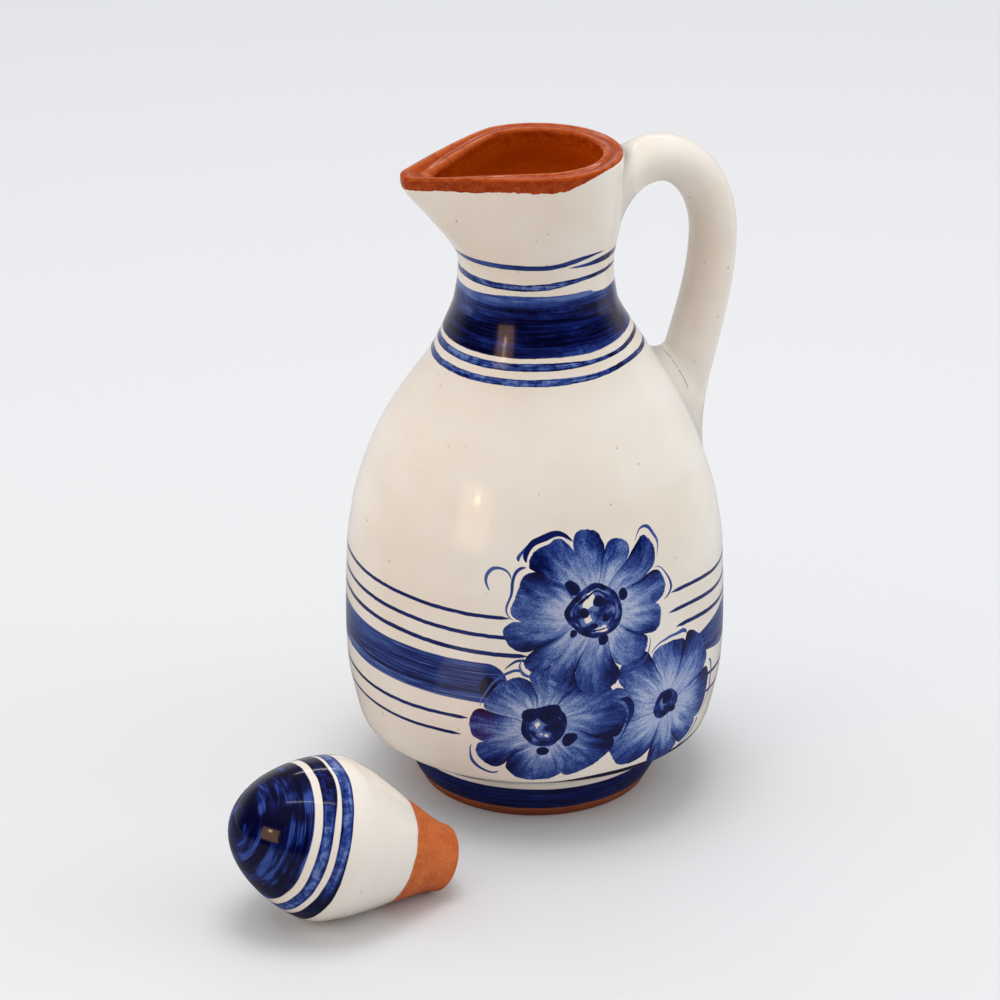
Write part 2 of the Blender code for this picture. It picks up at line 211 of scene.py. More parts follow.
def operator(operation: str, swapped: bool = False) -> Callable[..., "Wire"]:
    """Make a method of wires that adds a Math node.

    Args:
        operation: The node's operation.
        swapped: Whether the wire comes after the other value.

    Returns:
        The method.
    """

    def apply(wire: "Wire", *others: "Value") -> "Wire":
        """Add the node for this wire and the other values."""
        return wire.bench.maths(operation, *((*others, wire) if swapped else (wire, *others)))

    return apply


class Wire:
    """A value in a tree of nodes. An expression on wires adds the Math nodes for it."""

    __add__ = __radd__ = operator("ADD")
    __sub__, __rsub__ = operator("SUBTRACT"), operator("SUBTRACT", swapped=True)
    __mul__ = __rmul__ = operator("MULTIPLY")
    __truediv__, __rtruediv__ = operator("DIVIDE"), operator("DIVIDE", swapped=True)
    __pow__ = operator("POWER")
    __abs__ = operator("ABSOLUTE")
    least = operator("MINIMUM")
    most = operator("MAXIMUM")

    def __init__(self, bench: "Bench", socket: bpy.types.NodeSocket) -> None:
        """Wrap one output socket of the bench's tree."""
        self.bench = bench
        self.socket = socket

    def __neg__(self) -> "Wire":
        """Turn the sign round."""
        return self * -1

    def beside(self, output: int | str) -> "Wire":
        """Take another output of the same node."""
        return Wire(self.bench, self.socket.node.outputs[output])

    def eased(self, low: "Value", high: "Value") -> "Wire":
        """Rise smoothly from 0 at low to 1 at high, which may lie below low."""
        return self.bench.eased(self, low, high)

    def within(self, half: "Value", soft: float) -> "Wire":
        """Be 1 where this lies within half of 0, with a soft edge outwards."""
        return (abs(self) - half).eased(soft, 0)


Value = Wire | float | int


class Bench:
    """A tree of nodes, which one method and the expressions on wires add to."""

    def __init__(self, tree: bpy.types.NodeTree) -> None:
        """Take over a tree."""
        self.tree = tree

    def add(
        self,
        kind: str,
        settings: dict[str, object] | None = None,
        inputs: dict[int | str, object] | None = None,
        output: int | str = 0,
    ) -> Wire:
        """Add a node.

        Args:
            kind: The node's type, which may leave out a leading "ShaderNode".
            settings: Values set on the node first; "stops" are a ramp's places and colours.
            inputs: Values or wires for its sockets, by number or name.
            output: The socket whose wire is given back.

        Returns:
            The wire of that output.
        """
        node = self.tree.nodes.new(kind if "Node" in kind else "ShaderNode" + kind)
        for name, value in (settings or {}).items():
            if name == "stops":
                self._set_stops(node.color_ramp, value)
            else:
                setattr(node, name, value)
        for place, value in (inputs or {}).items():
            self.feed(node.inputs[place], value)
        return Wire(self, node.outputs[output])

    @staticmethod
    def _set_stops(ramp: bpy.types.ColorRamp, stops: Sequence[tuple[float, Colour]]) -> None:
        """Set a ramp's stops.

        Args:
            ramp: A new ramp, which has two stops.
            stops: Pairs of place and screen colour.
        """
        while len(ramp.elements) < len(stops):
            ramp.elements.new(0.5)
        for element, (place, colour) in zip(ramp.elements, stops):
            element.position = place
            element.color = linear(colour)

    def feed(self, socket: bpy.types.NodeSocket, value: object) -> None:
        """Link a wire to a socket, or set the socket's own value.

        Args:
            socket: The socket.
            value: The wire or the value.
        """
        if isinstance(value, Wire):
            self.tree.links.new(value.socket, socket)
        else:
            socket.default_value = value

    def maths(self, operation: str, *values: Value) -> Wire:
        """Add a Math node for an operation on one to three values."""
        return self.add("Math", {"operation": operation}, dict(enumerate(values)))

    def distance(self, x: Wire, y: Wire) -> Wire:
        """Measure from 0 to a point of a plane."""
        return self.maths("SQRT", x * x + y * y)

    def eased(self, value: Value, low: Value, high: Value) -> Wire:
        """Rise smoothly from 0 at low to 1 at high."""
        settings = {"interpolation_type": "SMOOTHSTEP"}
        return self.add("MapRange", settings, {"Value": value, "From Min": low, "From Max": high})

    def parts(self, vector: Wire) -> tuple[Wire, Wire, Wire]:
        """Take a vector apart into x, y and z."""
        first = self.add("SeparateXYZ", None, {0: vector})
        return first, first.beside(1), first.beside(2)

    def vector(self, x: Value, y: Value, z: Value) -> Wire:
        """Put a vector together."""
        return self.add("CombineXYZ", None, {0: x, 1: y, 2: z})


@dataclass(frozen=True)
class Grain:
    """A noise: the size of its features in millimetres, its seed, detail and roughness."""

    across: float
    up: float
    seed: float = 0.0
    detail: float = 2.0
    rough: float = 0.5


class Coat(Bench):
    """The shader of a material or of the room."""

    def __init__(self, owner: bpy.types.Material | bpy.types.World) -> None:
        """Take over the shader.

        Args:
            owner: The material or the world.
        """
        owner.use_nodes = True
        super().__init__(owner.node_tree)
        self.owner = owner
        room = isinstance(owner, bpy.types.World)
        self.shader = self.tree.nodes["Background" if room else "Principled BSDF"]

    @classmethod
    def material(cls, name: str) -> "Coat":
        """Start a new material."""
        return cls(bpy.data.materials.new(name))

    def finish(self, name: str, value: object) -> None:
        """Feed one socket of the shader."""
        self.feed(self.shader.inputs[name], value)

    def place_mm(self) -> Wire:
        """Give the point on the piece in millimetres of the row's frame."""
        point = self.add("TexCoord", output="Object")
        return self.add("VectorMath", {"operation": "SCALE"}, {0: point, "Scale": 1 / MM})

    def noise(self, point: Wire, detail: float, rough: float, output: int = 0) -> Wire:
        """Read noise of feature size 1, from 0 to 1 and mostly near 0.5."""
        inputs = {"Vector": point, "Scale": 1.0, "Detail": detail, "Roughness": rough}
        return self.add("TexNoise", None, inputs, output)

    def grain(self, point: Wire, grain: Grain, output: int = 0) -> Wire:
        """Read a noise.

        Args:
            point: The place in millimetres.
            grain: The noise.
            output: 0 for a number and 1 for a vector.

        Returns:
            The noise, from 0 to 1 and mostly near 0.5.
        """
        scale = (1 / grain.across, 1 / grain.across, 1 / grain.up)
        point = self.add("VectorMath", {"operation": "MULTIPLY"}, {0: point, 1: scale})
        point = self.add("VectorMath", {"operation": "ADD"}, {0: point, 1: (grain.seed,) * 3})
        return self.noise(point, grain.detail, grain.rough, output)

    def blend(self, share: Value, low: object, high: object) -> Wire:
        """Mix two colours, given as wires or as screen colours."""
        low, high = (c if isinstance(c, Wire) else linear(c) for c in (low, high))
        return self.add("Mix", {"data_type": "RGBA"}, {0: share, 6: low, 7: high}, 2)

    def chance(self, number: Value, seed: float) -> Wire:
        """Give each whole number its own fixed value between 0 and 1."""
        point = self.vector(number, seed, 0)
        return self.add("TexWhiteNoise", {"noise_dimensions": "3D"}, {"Vector": point})

    def attribute(self, name: str) -> Wire:
        """Read a number stored on the mesh."""
        return self.add("Attribute", {"attribute_name": name}, output="Fac")

    def bump(self, height: Wire) -> None:
        """Let a height from 0 to 1 bend the shading, as coats of glaze do."""
        inputs = {"Strength": 0.6, "Distance": 0.45 * MM, "Height": height}
        self.finish("Normal", self.add("Bump", None, inputs))


@dataclass(frozen=True)
class CreamGlaze:
    """Opaque cream glaze with faint clouds and small iron specks."""

    thick: Colour = (233, 227, 218)
    thin: Colour = (224, 210, 192)
    speck: Colour = (108, 66, 34)
    roughness: float = 0.1
    clouds: Grain = Grain(38, 30, detail=3)
    speck_spacing: float = 3.8
    speck_least: float = 0.03
    speck_range: float = 0.045
    speckless: float = 0.34

    def lay(self, bench: Coat, point: Wire) -> Wire:
        """Colour the glaze.

        Args:
            bench: The material.
            point: The place on the piece in millimetres.

        Returns:
            The colour.
        """
        cloud = bench.grain(point, self.clouds).eased(0.3, 0.75)
        colour = bench.blend(cloud * 0.7, self.thick, self.thin)
        inputs = {"Vector": point, "Scale": 1 / self.speck_spacing}
        cells = bench.add("TexVoronoi", None, inputs)
        draw = bench.add("SeparateColor", None, {0: cells.beside(1)})
        size = draw.beside(1) ** 3 * self.speck_range + self.speck_least
        dot = cells.eased(size * 1.7, size) * draw.eased(self.speckless, self.speckless + 0.04)
        return bench.blend(dot * (draw.beside(2) * 0.6 + 0.2), colour, self.speck)


@dataclass(frozen=True)
class Cobalt:
    """Blue brushed on the raw glaze, from a pale wash to pooled nearly black strokes."""

    wash: Colour = (182, 190, 212)
    light: Colour = (112, 134, 184)
    middle: Colour = (44, 70, 140)
    full: Colour = (11, 27, 92)
    pooled: Colour = (0, 0, 38)

    def colour(self, bench: Coat, tone: Wire) -> Wire:
        """Give the blue of a tone.

        Args:
            bench: The material.
            tone: The tone, from 0 for a wash to 1 for pooled paint.

        Returns:
            The colour.
        """
        stops = (
            (0.0, self.wash), (0.28, self.light), (0.55, self.middle),
            (0.8, self.full), (1.0, self.pooled),
        )
        return bench.add("ValToRGB", {"stops": stops}, {0: tone})


@dataclass(frozen=True)
class ClearGlaze:
    """Clear glossy glaze on red clay, thinner on the ridges; painted highlight lightens them and
    painted light the inside.
    """

    deep: Colour = (140, 42, 0)
    warm: Colour = (166, 66, 4)
    # Painted light: a lighter copy of the glaze for the inside of the mouth.
    inside: Colour = (208, 88, 10)
    # Ridge colour: thin glaze, and partly a painted highlight.
    ridge: Colour = (184, 90, 42)
    grit: Colour = (214, 140, 84)
    mottle: Grain = Grain(2.6, 1.6, 0, 4, 0.7)
    thin_glaze_and_sheen: Grain = Grain(3, 3, 7, 3)
    grains: Grain = Grain(0.55, 0.55, 5, 1)

    def lay(self, bench: Coat, point: Wire, ridge: Wire, inside: Wire) -> Wire:
        """Colour the glazed clay.

        Args:
            bench: The material.
            point: The place on the piece in millimetres.
            ridge: 1 on a ridge, where the glaze ran thin and a highlight is painted, and 0 in a
                hollow.
            inside: 1 down the inside of the wall, which is painted lighter as painted light, and 0
                outside.

        Returns:
            The colour.
        """
        mottle = bench.grain(point, self.mottle).eased(0.3, 0.7)
        colour = bench.blend(mottle, self.deep, self.warm)
        # Painted light: the inside of the mouth takes the lighter copy, standing in for light
        # reaching in.
        colour = bench.blend(inside * (0.75 + mottle * 0.25), colour, self.inside)
        # Ridges lighten in patches: partly thin glaze, partly a painted highlight.
        worn = ridge * bench.grain(point, self.thin_glaze_and_sheen).eased(0.25, 0.6)
        colour = bench.blend(worn, colour, self.ridge)
        grit = bench.grain(point, self.grains).eased(0.66, 0.74)
        return bench.blend(grit * 0.4, colour, self.grit)


@dataclass(frozen=True)
class BareClay:
    """Unglazed fired red clay with fine grit."""

    pale: Colour = (199, 102, 42)
    dark: Colour = (182, 86, 31)
    grit: Colour = (226, 160, 118)
    roughness: float = 0.85
    clouds: Grain = Grain(6, 6, 3, 5, 0.7)
    grains: Grain = Grain(0.5, 0.5, 5)

    def lay(self, bench: Coat, point: Wire) -> Wire:
        """Colour the bare clay.

        Args:
            bench: The material.
            point: The place on the piece in millimetres.

        Returns:
            The colour.
        """
        cloud = bench.grain(point, self.clouds).eased(0.35, 0.65)
        grit = bench.grain(point, self.grains).eased(0.55, 0.72)
        return bench.blend(grit * 0.35, bench.blend(cloud, self.dark, self.pale), self.grit)


class Finish(Enum):
    """The four coats of the carafe."""

    CREAM = CreamGlaze()
    BLUE = Cobalt()
    CLEAR = ClearGlaze()
    BARE = BareClay()


class Brushwork:
    """Blue paint gathered stroke by stroke, as a cover and a tone."""

    def __init__(self, bench: Coat, point: Wire) -> None:
        """Start with nothing painted.

        Args:
            bench: The material.
            point: The place on the piece in millimetres.
        """
        self.bench = bench
        self.point = point
        self.cover: Value = 0.0
        self.tone: Value = 0.5

    def grain(self, grain: Grain, output: int = 0) -> Wire:
        """Read a noise at this place."""
        return self.bench.grain(self.point, grain, output)

    def stroke(self, mask: Wire, tone: Value) -> None:
        """Paint over what is there.

        Args:
            mask: 1 where the stroke is, 0 elsewhere.
            tone: Its tone, from 0 for a wash to 1 for pooled paint.
        """
        self.cover = mask.most(self.cover)
        self.tone = (tone - self.tone) * mask + self.tone

    def wipe(self, mask: Wire) -> None:
        """Leave the ground bare where the mask is 1."""
        self.cover = (1 - mask) * self.cover

    def over(self, ground: Wire) -> Wire:
        """Give the colour of the paint on its ground."""
        blue = Finish.BLUE.value.colour(self.bench, self.tone)
        return self.bench.blend(self.cover, ground, blue)


class Canvas(Brushwork):
    """The vessel's outside under the brush: where each point lies and how the bristles ran."""

    WANDER = Grain(24, 60, 2)
    TREMBLE = Grain(2.4, 9, 8, 3)
    STREAKS = Grain(22, 0.55, 4, 4, 0.65)
    FINE = Grain(9, 0.28, 9, 2, 0.6)
    BROAD = Grain(34, 1.7, 12, 3, 0.6)
    MOTTLE = Grain(3.2, 2.2, 14, 3, 0.65)
    EVEN = 0.45

    def __init__(self, bench: Coat, point: Wire) -> None:
        """Find each point's height, turn and girth, and lay the bristles' streaks.

        Args:
            bench: The vessel's material.
            point: The place on the vessel in millimetres.
        """
        super().__init__(bench, point)
        x, y, self.height = bench.parts(point)
        self.girth = bench.distance(x, y)
        self.turn = bench.maths("ARCTAN2", x, -y) * TO_DEGREES
        self.back = self.turn.eased(172, 110)
        self.left_back = self.turn.eased(-180, -110)
        self.wander = self.grain(self.WANDER) - 0.5
        self.up = self.height + self.wander * 0.8 + (self.grain(self.TREMBLE) - 0.5) * 0.3
        self.fine = self.grain(self.FINE)
        self.brush = self.grain(self.STREAKS) * 0.7 + self.fine * 0.3
        self.streak = self.brush - self.EVEN
        self.broad = self.grain(self.BROAD)
        self.mottle = self.grain(self.MOTTLE) - 0.5

    def length(self, degrees: Wire) -> Wire:
        """Turn degrees round the vessel into millimetres."""
        return degrees * self.girth * TO_RADIANS


@dataclass(frozen=True)
class Hook:
    """One painted arc beside a flower, thick in its middle."""

    right: float
    up: float
    radius: float
    half_width: float
    middle: float
    reach: float
    tone: float


@dataclass(frozen=True)
class Flower:
    """One painted flower: a whorl of petals round a dotted middle."""

    side: float
    height: float
    reach: float
    petals: int
    turn: float
    seed: float
    middle: float
    squash: float
    fullness: float
    gap: float
    dark: float
    curls: float
    drops: tuple[tuple[float, float, float], ...]
    hooks: tuple[Hook, ...] = ()


class Bloom:
    """A flower as it is painted. Lengths are from its middle, and chances are each petal's own."""

    ROUGH_EDGE = Grain(1.3, 1.3, 5)
    DRY_GRAIN = Grain(0.42, 0.42, 3, 1)
    SWAY_MM = 5

    def __init__(self, canvas: Canvas, flower: Flower) -> None:
        """Measure from the flower's middle and number its petals.

        Args:
            canvas: The vessel's outside.
            flower: The flower.
        """
        self.canvas, self.bench, self.flower = canvas, canvas.bench, flower
        bench, seed = self.bench, flower.seed
        sway = canvas.grain(Grain(11, 11, seed, 1), 1)
        right, up, _ = bench.parts(sway)
        self.across = canvas.length(canvas.turn - flower.side) + (right - 0.5) * self.SWAY_MM
        self.rise = (canvas.height - flower.height) / flower.squash + (up - 0.5) * self.SWAY_MM
        self.radius = bench.distance(self.across, self.rise)
        self.angle = bench.maths("ARCTAN2", self.rise, self.across) / math.tau + flower.turn
        uneven = bench.maths("SINE", self.angle * (2 * math.tau) + seed) * 0.022
        uneven = bench.maths("SINE", self.angle * (3 * math.tau) + 2 * seed) * 0.01 + uneven
        self.lot = (self.angle + uneven) * flower.petals
        self.part = bench.maths("FRACT", self.lot) - 0.5
        number = self._numbered(self.lot)
        self.chance = bench.chance(number, seed)
        self.other = bench.chance(number, seed + 5)
        self.length = (0.84 + self.chance * 0.18) * flower.reach
        self.edge = self._outline()

    def paint(self) -> None:
        """Paint the flower."""
        self._petals()
        self._curls()
        for hook in self.flower.hooks:
            self._hook(hook)
        self._middle()

    def _numbered(self, lot: Wire) -> Wire:
        """Number the lots round a flower, so that the last joins the first."""
        return self.bench.maths("WRAP", self.bench.maths("FLOOR", lot), self.flower.petals, 0)

    def _outline(self) -> Wire:
        """Round the petals' tips and cut the clefts between them.

        Returns:
            The distance of the petals' edge from the middle.
        """
        cleft = self.bench.chance(self._numbered(self.lot + 0.5), self.flower.seed + 9)
        join = 1 - self.flower.gap * (0.3 + cleft * 0.7)
        hollow = (1 - (abs(self.part) / self.flower.fullness).least(1) ** 2.6) ** 0.45
        return self.length * (join + hollow * (1 - join))

    def _petals(self) -> None:
        """Paint the petals, loaded on one side and dry towards the middle."""
        rough = self.canvas.grain(self.ROUGH_EDGE) - 0.5
        petal = (self.radius - self.edge + rough * 0.7).eased(0.18, -0.1)
        side = self.bench.maths("SIGN", self.other - 0.5) * self.part
        depth = self.radius / self.length
        ray = self.bench.vector(self.angle * 52, self.radius * 0.12, self.flower.seed)
        bristles = self.bench.noise(ray, 3, 0.6)
        grain = self.canvas.grain(self.DRY_GRAIN).eased(0.4, 0.68) - 0.4
        loaded = side.eased(-0.1, 0.48) * depth.eased(0.3, 0.85)
        tone = depth.eased(0.25, 1.0) * 0.5 + loaded * 0.34 + 0.08 + self.flower.dark
        tone = tone + (bristles - 0.5) * 1.0 + (self.chance - 0.5) * 0.2 + grain * 0.16
        tone = tone + side.eased(0.4, 0.49) * 0.22
        self.canvas.stroke(petal, tone.most(0.05).least(0.95))

    def _curls(self) -> None:
        """Paint the thin curls that hook round the tips of some petals."""
        draw = self.bench.maths("FRACT", self.chance * 7.31 + self.other * 3.17)
        chosen = draw.eased(self.flower.curls + 0.01, self.flower.curls - 0.01)
        hook = self.bench.maths("SIGN", self.chance - 0.5) * self.part
        gap = 1.0 + self.other * 0.9 + (hook + 0.5) ** 2 * 1.6
        heavy = draw.eased(0.08, 0.06)
        half = 0.16 + hook.eased(-0.45, 0.3) * 0.26 + heavy * hook.eased(-0.5, 0.3) * 0.7
        span = hook.eased(-0.5, -0.36) * hook.eased(0.5, 0.46)
        tone = 0.44 + draw * 0.25 + heavy * 0.34 + hook * 0.2
        mask = (self.radius - self.edge - gap).within(half * span, 0.2)
        self.canvas.stroke(mask * chosen * span.eased(0.05, 0.3), tone)

    def _hook(self, hook: Hook) -> None:
        """Paint one arc.

        Args:
            hook: The arc.
        """
        away, above = self.across - hook.right, self.rise - hook.up
        out = self.bench.distance(away, above)
        angle = self.bench.maths("ARCTAN2", above, away) * TO_DEGREES
        off = abs(self.bench.maths("WRAP", angle - hook.middle, 180, -180)) / hook.reach
        half = (1 - off.least(1) ** 3) * hook.half_width
        mask = (out - hook.radius).within(half, 0.2) * off.eased(1, 0.94)
        self.canvas.stroke(mask, hook.tone)

    def _middle(self) -> None:
        """Paint the middle: a bare disc with blots, loose rings and scattered drops."""
        canvas, flower = self.canvas, self.flower
        disc = self.radius.eased(flower.middle + 0.1, flower.middle - 0.3)
        canvas.wipe(disc)
        blots = canvas.grain(Grain(4.2, 4.2, flower.seed + 1))
        canvas.stroke(blots.eased(0.33, 0.37) * disc, 0.38 + blots.eased(0.4, 0.66) * 0.6)
        wobble = canvas.grain(Grain(3, 3, flower.seed + 2, 1)) - 0.5
        for share, half in ((1.0, 0.75), (0.76, 0.28)):
            off = self.radius - flower.middle * share + wobble * 1.6
            canvas.stroke(off.within(half + wobble, 0.25), 0.82 + wobble)
        for right, up, reach in flower.drops:
            drop = self.bench.distance(self.across - right, self.rise - up) + wobble * 1.1
            canvas.stroke((drop - reach).eased(0.25, -0.05), 0.98 - (drop / reach) * 0.08)


@dataclass(frozen=True)
class Ring:
    """One painted line round the body, open where the flowers are."""

    height: float
    half_width: float
    left_end: float
    right_start: float
    left_climb: float = 1.3
    tone: float = 0.8


@dataclass(frozen=True)
class NeckLine:
    """One painted line round the neck, which climbs and thins towards the right."""

    height: float
    climb: float
    climb_start: float
    climb_end: float
    half_width: float
    right_half_width: float


@dataclass
class Front:
    """Everything painted on the vessel, in millimetres of height and degrees from the front."""

    neck_band: tuple[float, float] = (148.0, 165.5)
    neck_lines: tuple[NeckLine, ...] = (
        NeckLine(168.2, 1.5, -30, 22, 0.95, 0.55),
        NeckLine(145.4, 1.0, 35, 70, 1.0, 0.5),
        NeckLine(141.3, 0.8, -20, 70, 0.9, 0.6),
    )
    spiral_start: float = 174.8
    spiral_end: float = 174.1
    wide_band: tuple[float, float] = (49.4, 62.2)
    band_left_end: float = -28.0
    band_right_start: float = 32.0
    band_point: float = 26.0
    rings: tuple[Ring, ...] = (
        Ring(77.4, 0.52, -27.5, 24.5),
        Ring(71.2, 0.55, -25, 23.5),
        Ring(65.6, 0.6, -22, 26.5),
        Ring(43.5, 0.5, -40, 42, -0.9),
        Ring(37.5, 0.46, -42.5, 44, -0.9),
    )
    flowers: tuple[Flower, ...] = (
        Flower(
            side=23.2, height=42.6, reach=24.2, petals=8, turn=0.2, seed=31.0, middle=4.6,
            squash=0.95, fullness=0.52, gap=0.5, dark=-0.03, curls=0.5,
            drops=((0.6, 2.4, 2.4), (-1.6, -3.0, 1.3), (3.4, -3.6, 1.3)),
        ),
        Flower(
            side=-17.2, height=42.2, reach=24.8, petals=8, turn=0.45, seed=12.0, middle=6.6,
            squash=0.86, fullness=0.54, gap=0.36, dark=0.05, curls=0.5,
            drops=(
                (1.6, 4.6, 3.8), (-4.4, 4.4, 2.8), (3.6, -0.6, 2.7), (8.0, -6.2, 2.2),
                (-1.0, -9.4, 1.7),
            ),
            hooks=(
                Hook(-6.4, 19.0, 6.2, 0.45, 75, 75, 0.7), Hook(-1.6, 24.4, 2.6, 0.7, 20, 80, 0.85),
            ),
        ),
        Flower(
            side=-2.2, height=78.4, reach=27.8, petals=12, turn=0.1, seed=3.0, middle=8.0,
            squash=0.92, fullness=0.53, gap=0.42, dark=0.0, curls=0.68,
            drops=(
                (-3.0, 0.4, 1.6), (1.4, 2.9, 1.7), (2.6, -2.2, 1.1), (-0.8, -4.2, 0.9),
                (-6.8, 8.4, 1.9), (9.6, 4.6, 1.7), (1.8, -9.8, 1.6), (-7.6, -6.4, 1.1),
            ),
            hooks=(
                Hook(-10.4, 17.6, 8.6, 1.0, 115, 66, 0.84),
                Hook(-28.6, 11.2, 4.0, 0.45, 120, 120, 0.5),
            ),
        ),
    )
    foot_line: float = 14.1
    foot_band: tuple[float, float] = (3.6, 11.3)
    neck_clouds: Grain = Grain(14, 5, 21)
    neck_wear: Grain = Grain(1.6, 0.7, 22, 3, 0.7)

    def paint(self, canvas: Canvas) -> None:
        """Paint the bands, lines and flowers.

        Args:
            canvas: The vessel's outside.
        """
        self._neck_band(canvas)
        for line in self.neck_lines:
            self._neck_line(canvas, line)
        self._spiral(canvas)
        self._body_band(canvas)
        for ring in self.rings:
            self._ring(canvas, ring)
        self._foot(canvas)
        for flower in self.flowers:
            Bloom(canvas, flower).paint()

    def _neck_band(self, canvas: Canvas) -> None:
        """Paint the wide neck band, worn and paler along its top.

        Args:
            canvas: The vessel's outside.
        """
        low, high = self.neck_band
        turn, up, back = canvas.turn, canvas.up, canvas.back
        left = turn.eased(-30, -85) * canvas.left_back
        top = high - left * 1.4 - turn.eased(14, 42) * back * 1.4
        top = top - turn.eased(24, 26.5) * back * 0.5
        bottom = low + turn.eased(15, 72) * back * 1.1
        inside = (up - (top + bottom) / 2).within((top - bottom) / 2, 0.3)
        share = (up - bottom) / (top - bottom)
        cloud = canvas.grain(self.neck_clouds).eased(0.46, 0.7)
        worn = cloud * (canvas.grain(self.neck_wear) - 0.3) * 0.9
        tone = 1.04 - share.eased(0.7, 0.96) * 0.4 + share.eased(0.6, 0.3) * 0.04
        tone = tone - (canvas.broad - 0.44) * 1.1 - canvas.streak * 0.95
        tone = tone + canvas.mottle * 0.3 - worn.most(0)
        canvas.stroke(inside, tone.least(1).most(0.42))

    def _neck_line(self, canvas: Canvas, line: NeckLine) -> None:
        """Paint one line above or below the neck band.

        Args:
            canvas: The vessel's outside.
            line: The line.
        """
        turn, back, uneven = canvas.turn, canvas.back, canvas.broad - 0.5
        level = turn.eased(line.climb_start, line.climb_end) * back * line.climb + line.height
        thinned = turn.eased(-12, 22) * back * (line.half_width - line.right_half_width)
        thick = uneven * 0.5 + line.half_width - thinned
        off = canvas.up - level
        rim = abs(off).eased(thick * 0.5, thick) * 0.18
        deeper = turn.eased(5, 40) * back * 0.18
        ink = 0.66 + rim - canvas.streak * 1.7 + uneven * 0.8 + deeper
        canvas.stroke(off.within(thick, 0.18), (ink + canvas.mottle * 1.4).least(1).most(0.3))

    def _spiral(self, canvas: Canvas) -> None:
        """Paint the top line, whose end runs past its start and sinks behind the handle.

        Args:
            canvas: The vessel's outside.
        """
        turn, up, streak, mottle = canvas.turn, canvas.up, canvas.streak, canvas.mottle
        uneven = (canvas.broad - 0.5) * 0.4
        rising = turn.eased(-16, 24) * 2.0 + self.spiral_start
        thinning = turn.eased(33, 8) * 0.5 + turn.eased(36, 30) * 0.26
        first = (up - rising).within(thinning + uneven, 0.18)
        canvas.stroke(first * turn.eased(37, 33), 0.74 - streak * 1.1 + mottle * 0.3)
        settling = turn.eased(90, 172) * (self.spiral_start - self.spiral_end) + self.spiral_end
        started = turn.eased(3, 40)
        joined = 1 - canvas.back
        width = started * 0.75 + 0.2 - joined * 0.19
        second = (up - settling).within(width + joined * uneven, 0.18)
        ink = started * 0.35 + 0.6 - joined * 0.21 - streak * (joined * 0.3 + 0.8)
        canvas.stroke(second * turn.eased(2, 9), ink + joined * mottle * 0.3)

    def _body_band(self, canvas: Canvas) -> None:
        """Paint the wide body band, rounded at its left end and pointed at its right start.

        Args:
            canvas: The vessel's outside.
        """
        low, high = self.wide_band
        middle, half = (low + high) / 2, (high - low) / 2
        to_left = canvas.length(self.band_left_end - canvas.turn)
        to_right = canvas.length(canvas.turn - self.band_right_start) / self.band_point
        round_end = 1 - (to_left.least(half) / half).most(0)
        left_half = canvas.bench.maths("SQRT", 1 - round_end * round_end) * half
        point_end = to_right.most(0).least(1) ** 0.6 * half
        on_left = canvas.turn.eased(0, -1)
        reach = left_half * on_left + point_end * (1 - on_left)
        up = canvas.height + canvas.wander * 1.2
        off = up - middle - (1 - on_left) * to_right.eased(1, 0) * 1.5
        share = off / half
        blot = canvas.bench.distance((to_left - 5.6) / 2.6, (share + 0.22) / 0.52)
        blob = blot.eased(1.25, 0.8) * on_left
        lower = share.eased(-0.5, -0.58)
        ridge = (share + 0.52).within(0.05, 0.1)
        edge = share.eased(0.5, 0.9) * 0.12 + lower * 0.16
        tone = 0.82 - edge - canvas.streak * 2.0 + ridge * 0.2 + blob * 0.5
        canvas.stroke(off.within(reach, 0.3) * reach.eased(0.05, 0.5), tone.least(1).most(0.34))

    def _ring(self, canvas: Canvas, ring: Ring) -> None:
        """Paint one thin line round the body, which sags to the right of the flowers.

        Args:
            canvas: The vessel's outside.
            ring: The line.
        """
        turn, uneven = canvas.turn, canvas.fine - 0.5
        sag = turn.eased(0, 20) - turn.eased(28, 60) * 2.2
        climb = turn.eased(-30, -75) * canvas.left_back * ring.left_climb
        off = canvas.up - climb - sag * canvas.back - ring.height
        drawn = turn.eased(ring.left_end + 0.5, ring.left_end - 3).most(
            turn.eased(ring.right_start - 0.5, ring.right_start + 4)
        )
        mask = off.within((ring.half_width + uneven * 0.3) * drawn, 0.2)
        canvas.stroke(mask * drawn.eased(0.02, 0.15), ring.tone + uneven * 0.6)

    def _foot(self, canvas: Canvas) -> None:
        """Paint the blue round the foot and the line above it, which climbs to the right.

        Args:
            canvas: The vessel's outside.
        """
        low, high = self.foot_band
        up = canvas.height + canvas.wander * 0.6
        inside = (up - (low + high) / 2).within((high - low) / 2, 0.3)
        canvas.stroke(inside, (1.0 - (canvas.brush - 0.42) * 1.3).least(1))
        climbed = canvas.turn.eased(-60, 8) * canvas.turn.eased(170, 60)
        line = up - self.foot_line - climbed * 5.6
        canvas.stroke(line.within(climbed * 1.8 + 1.3, 0.2), 1.0)


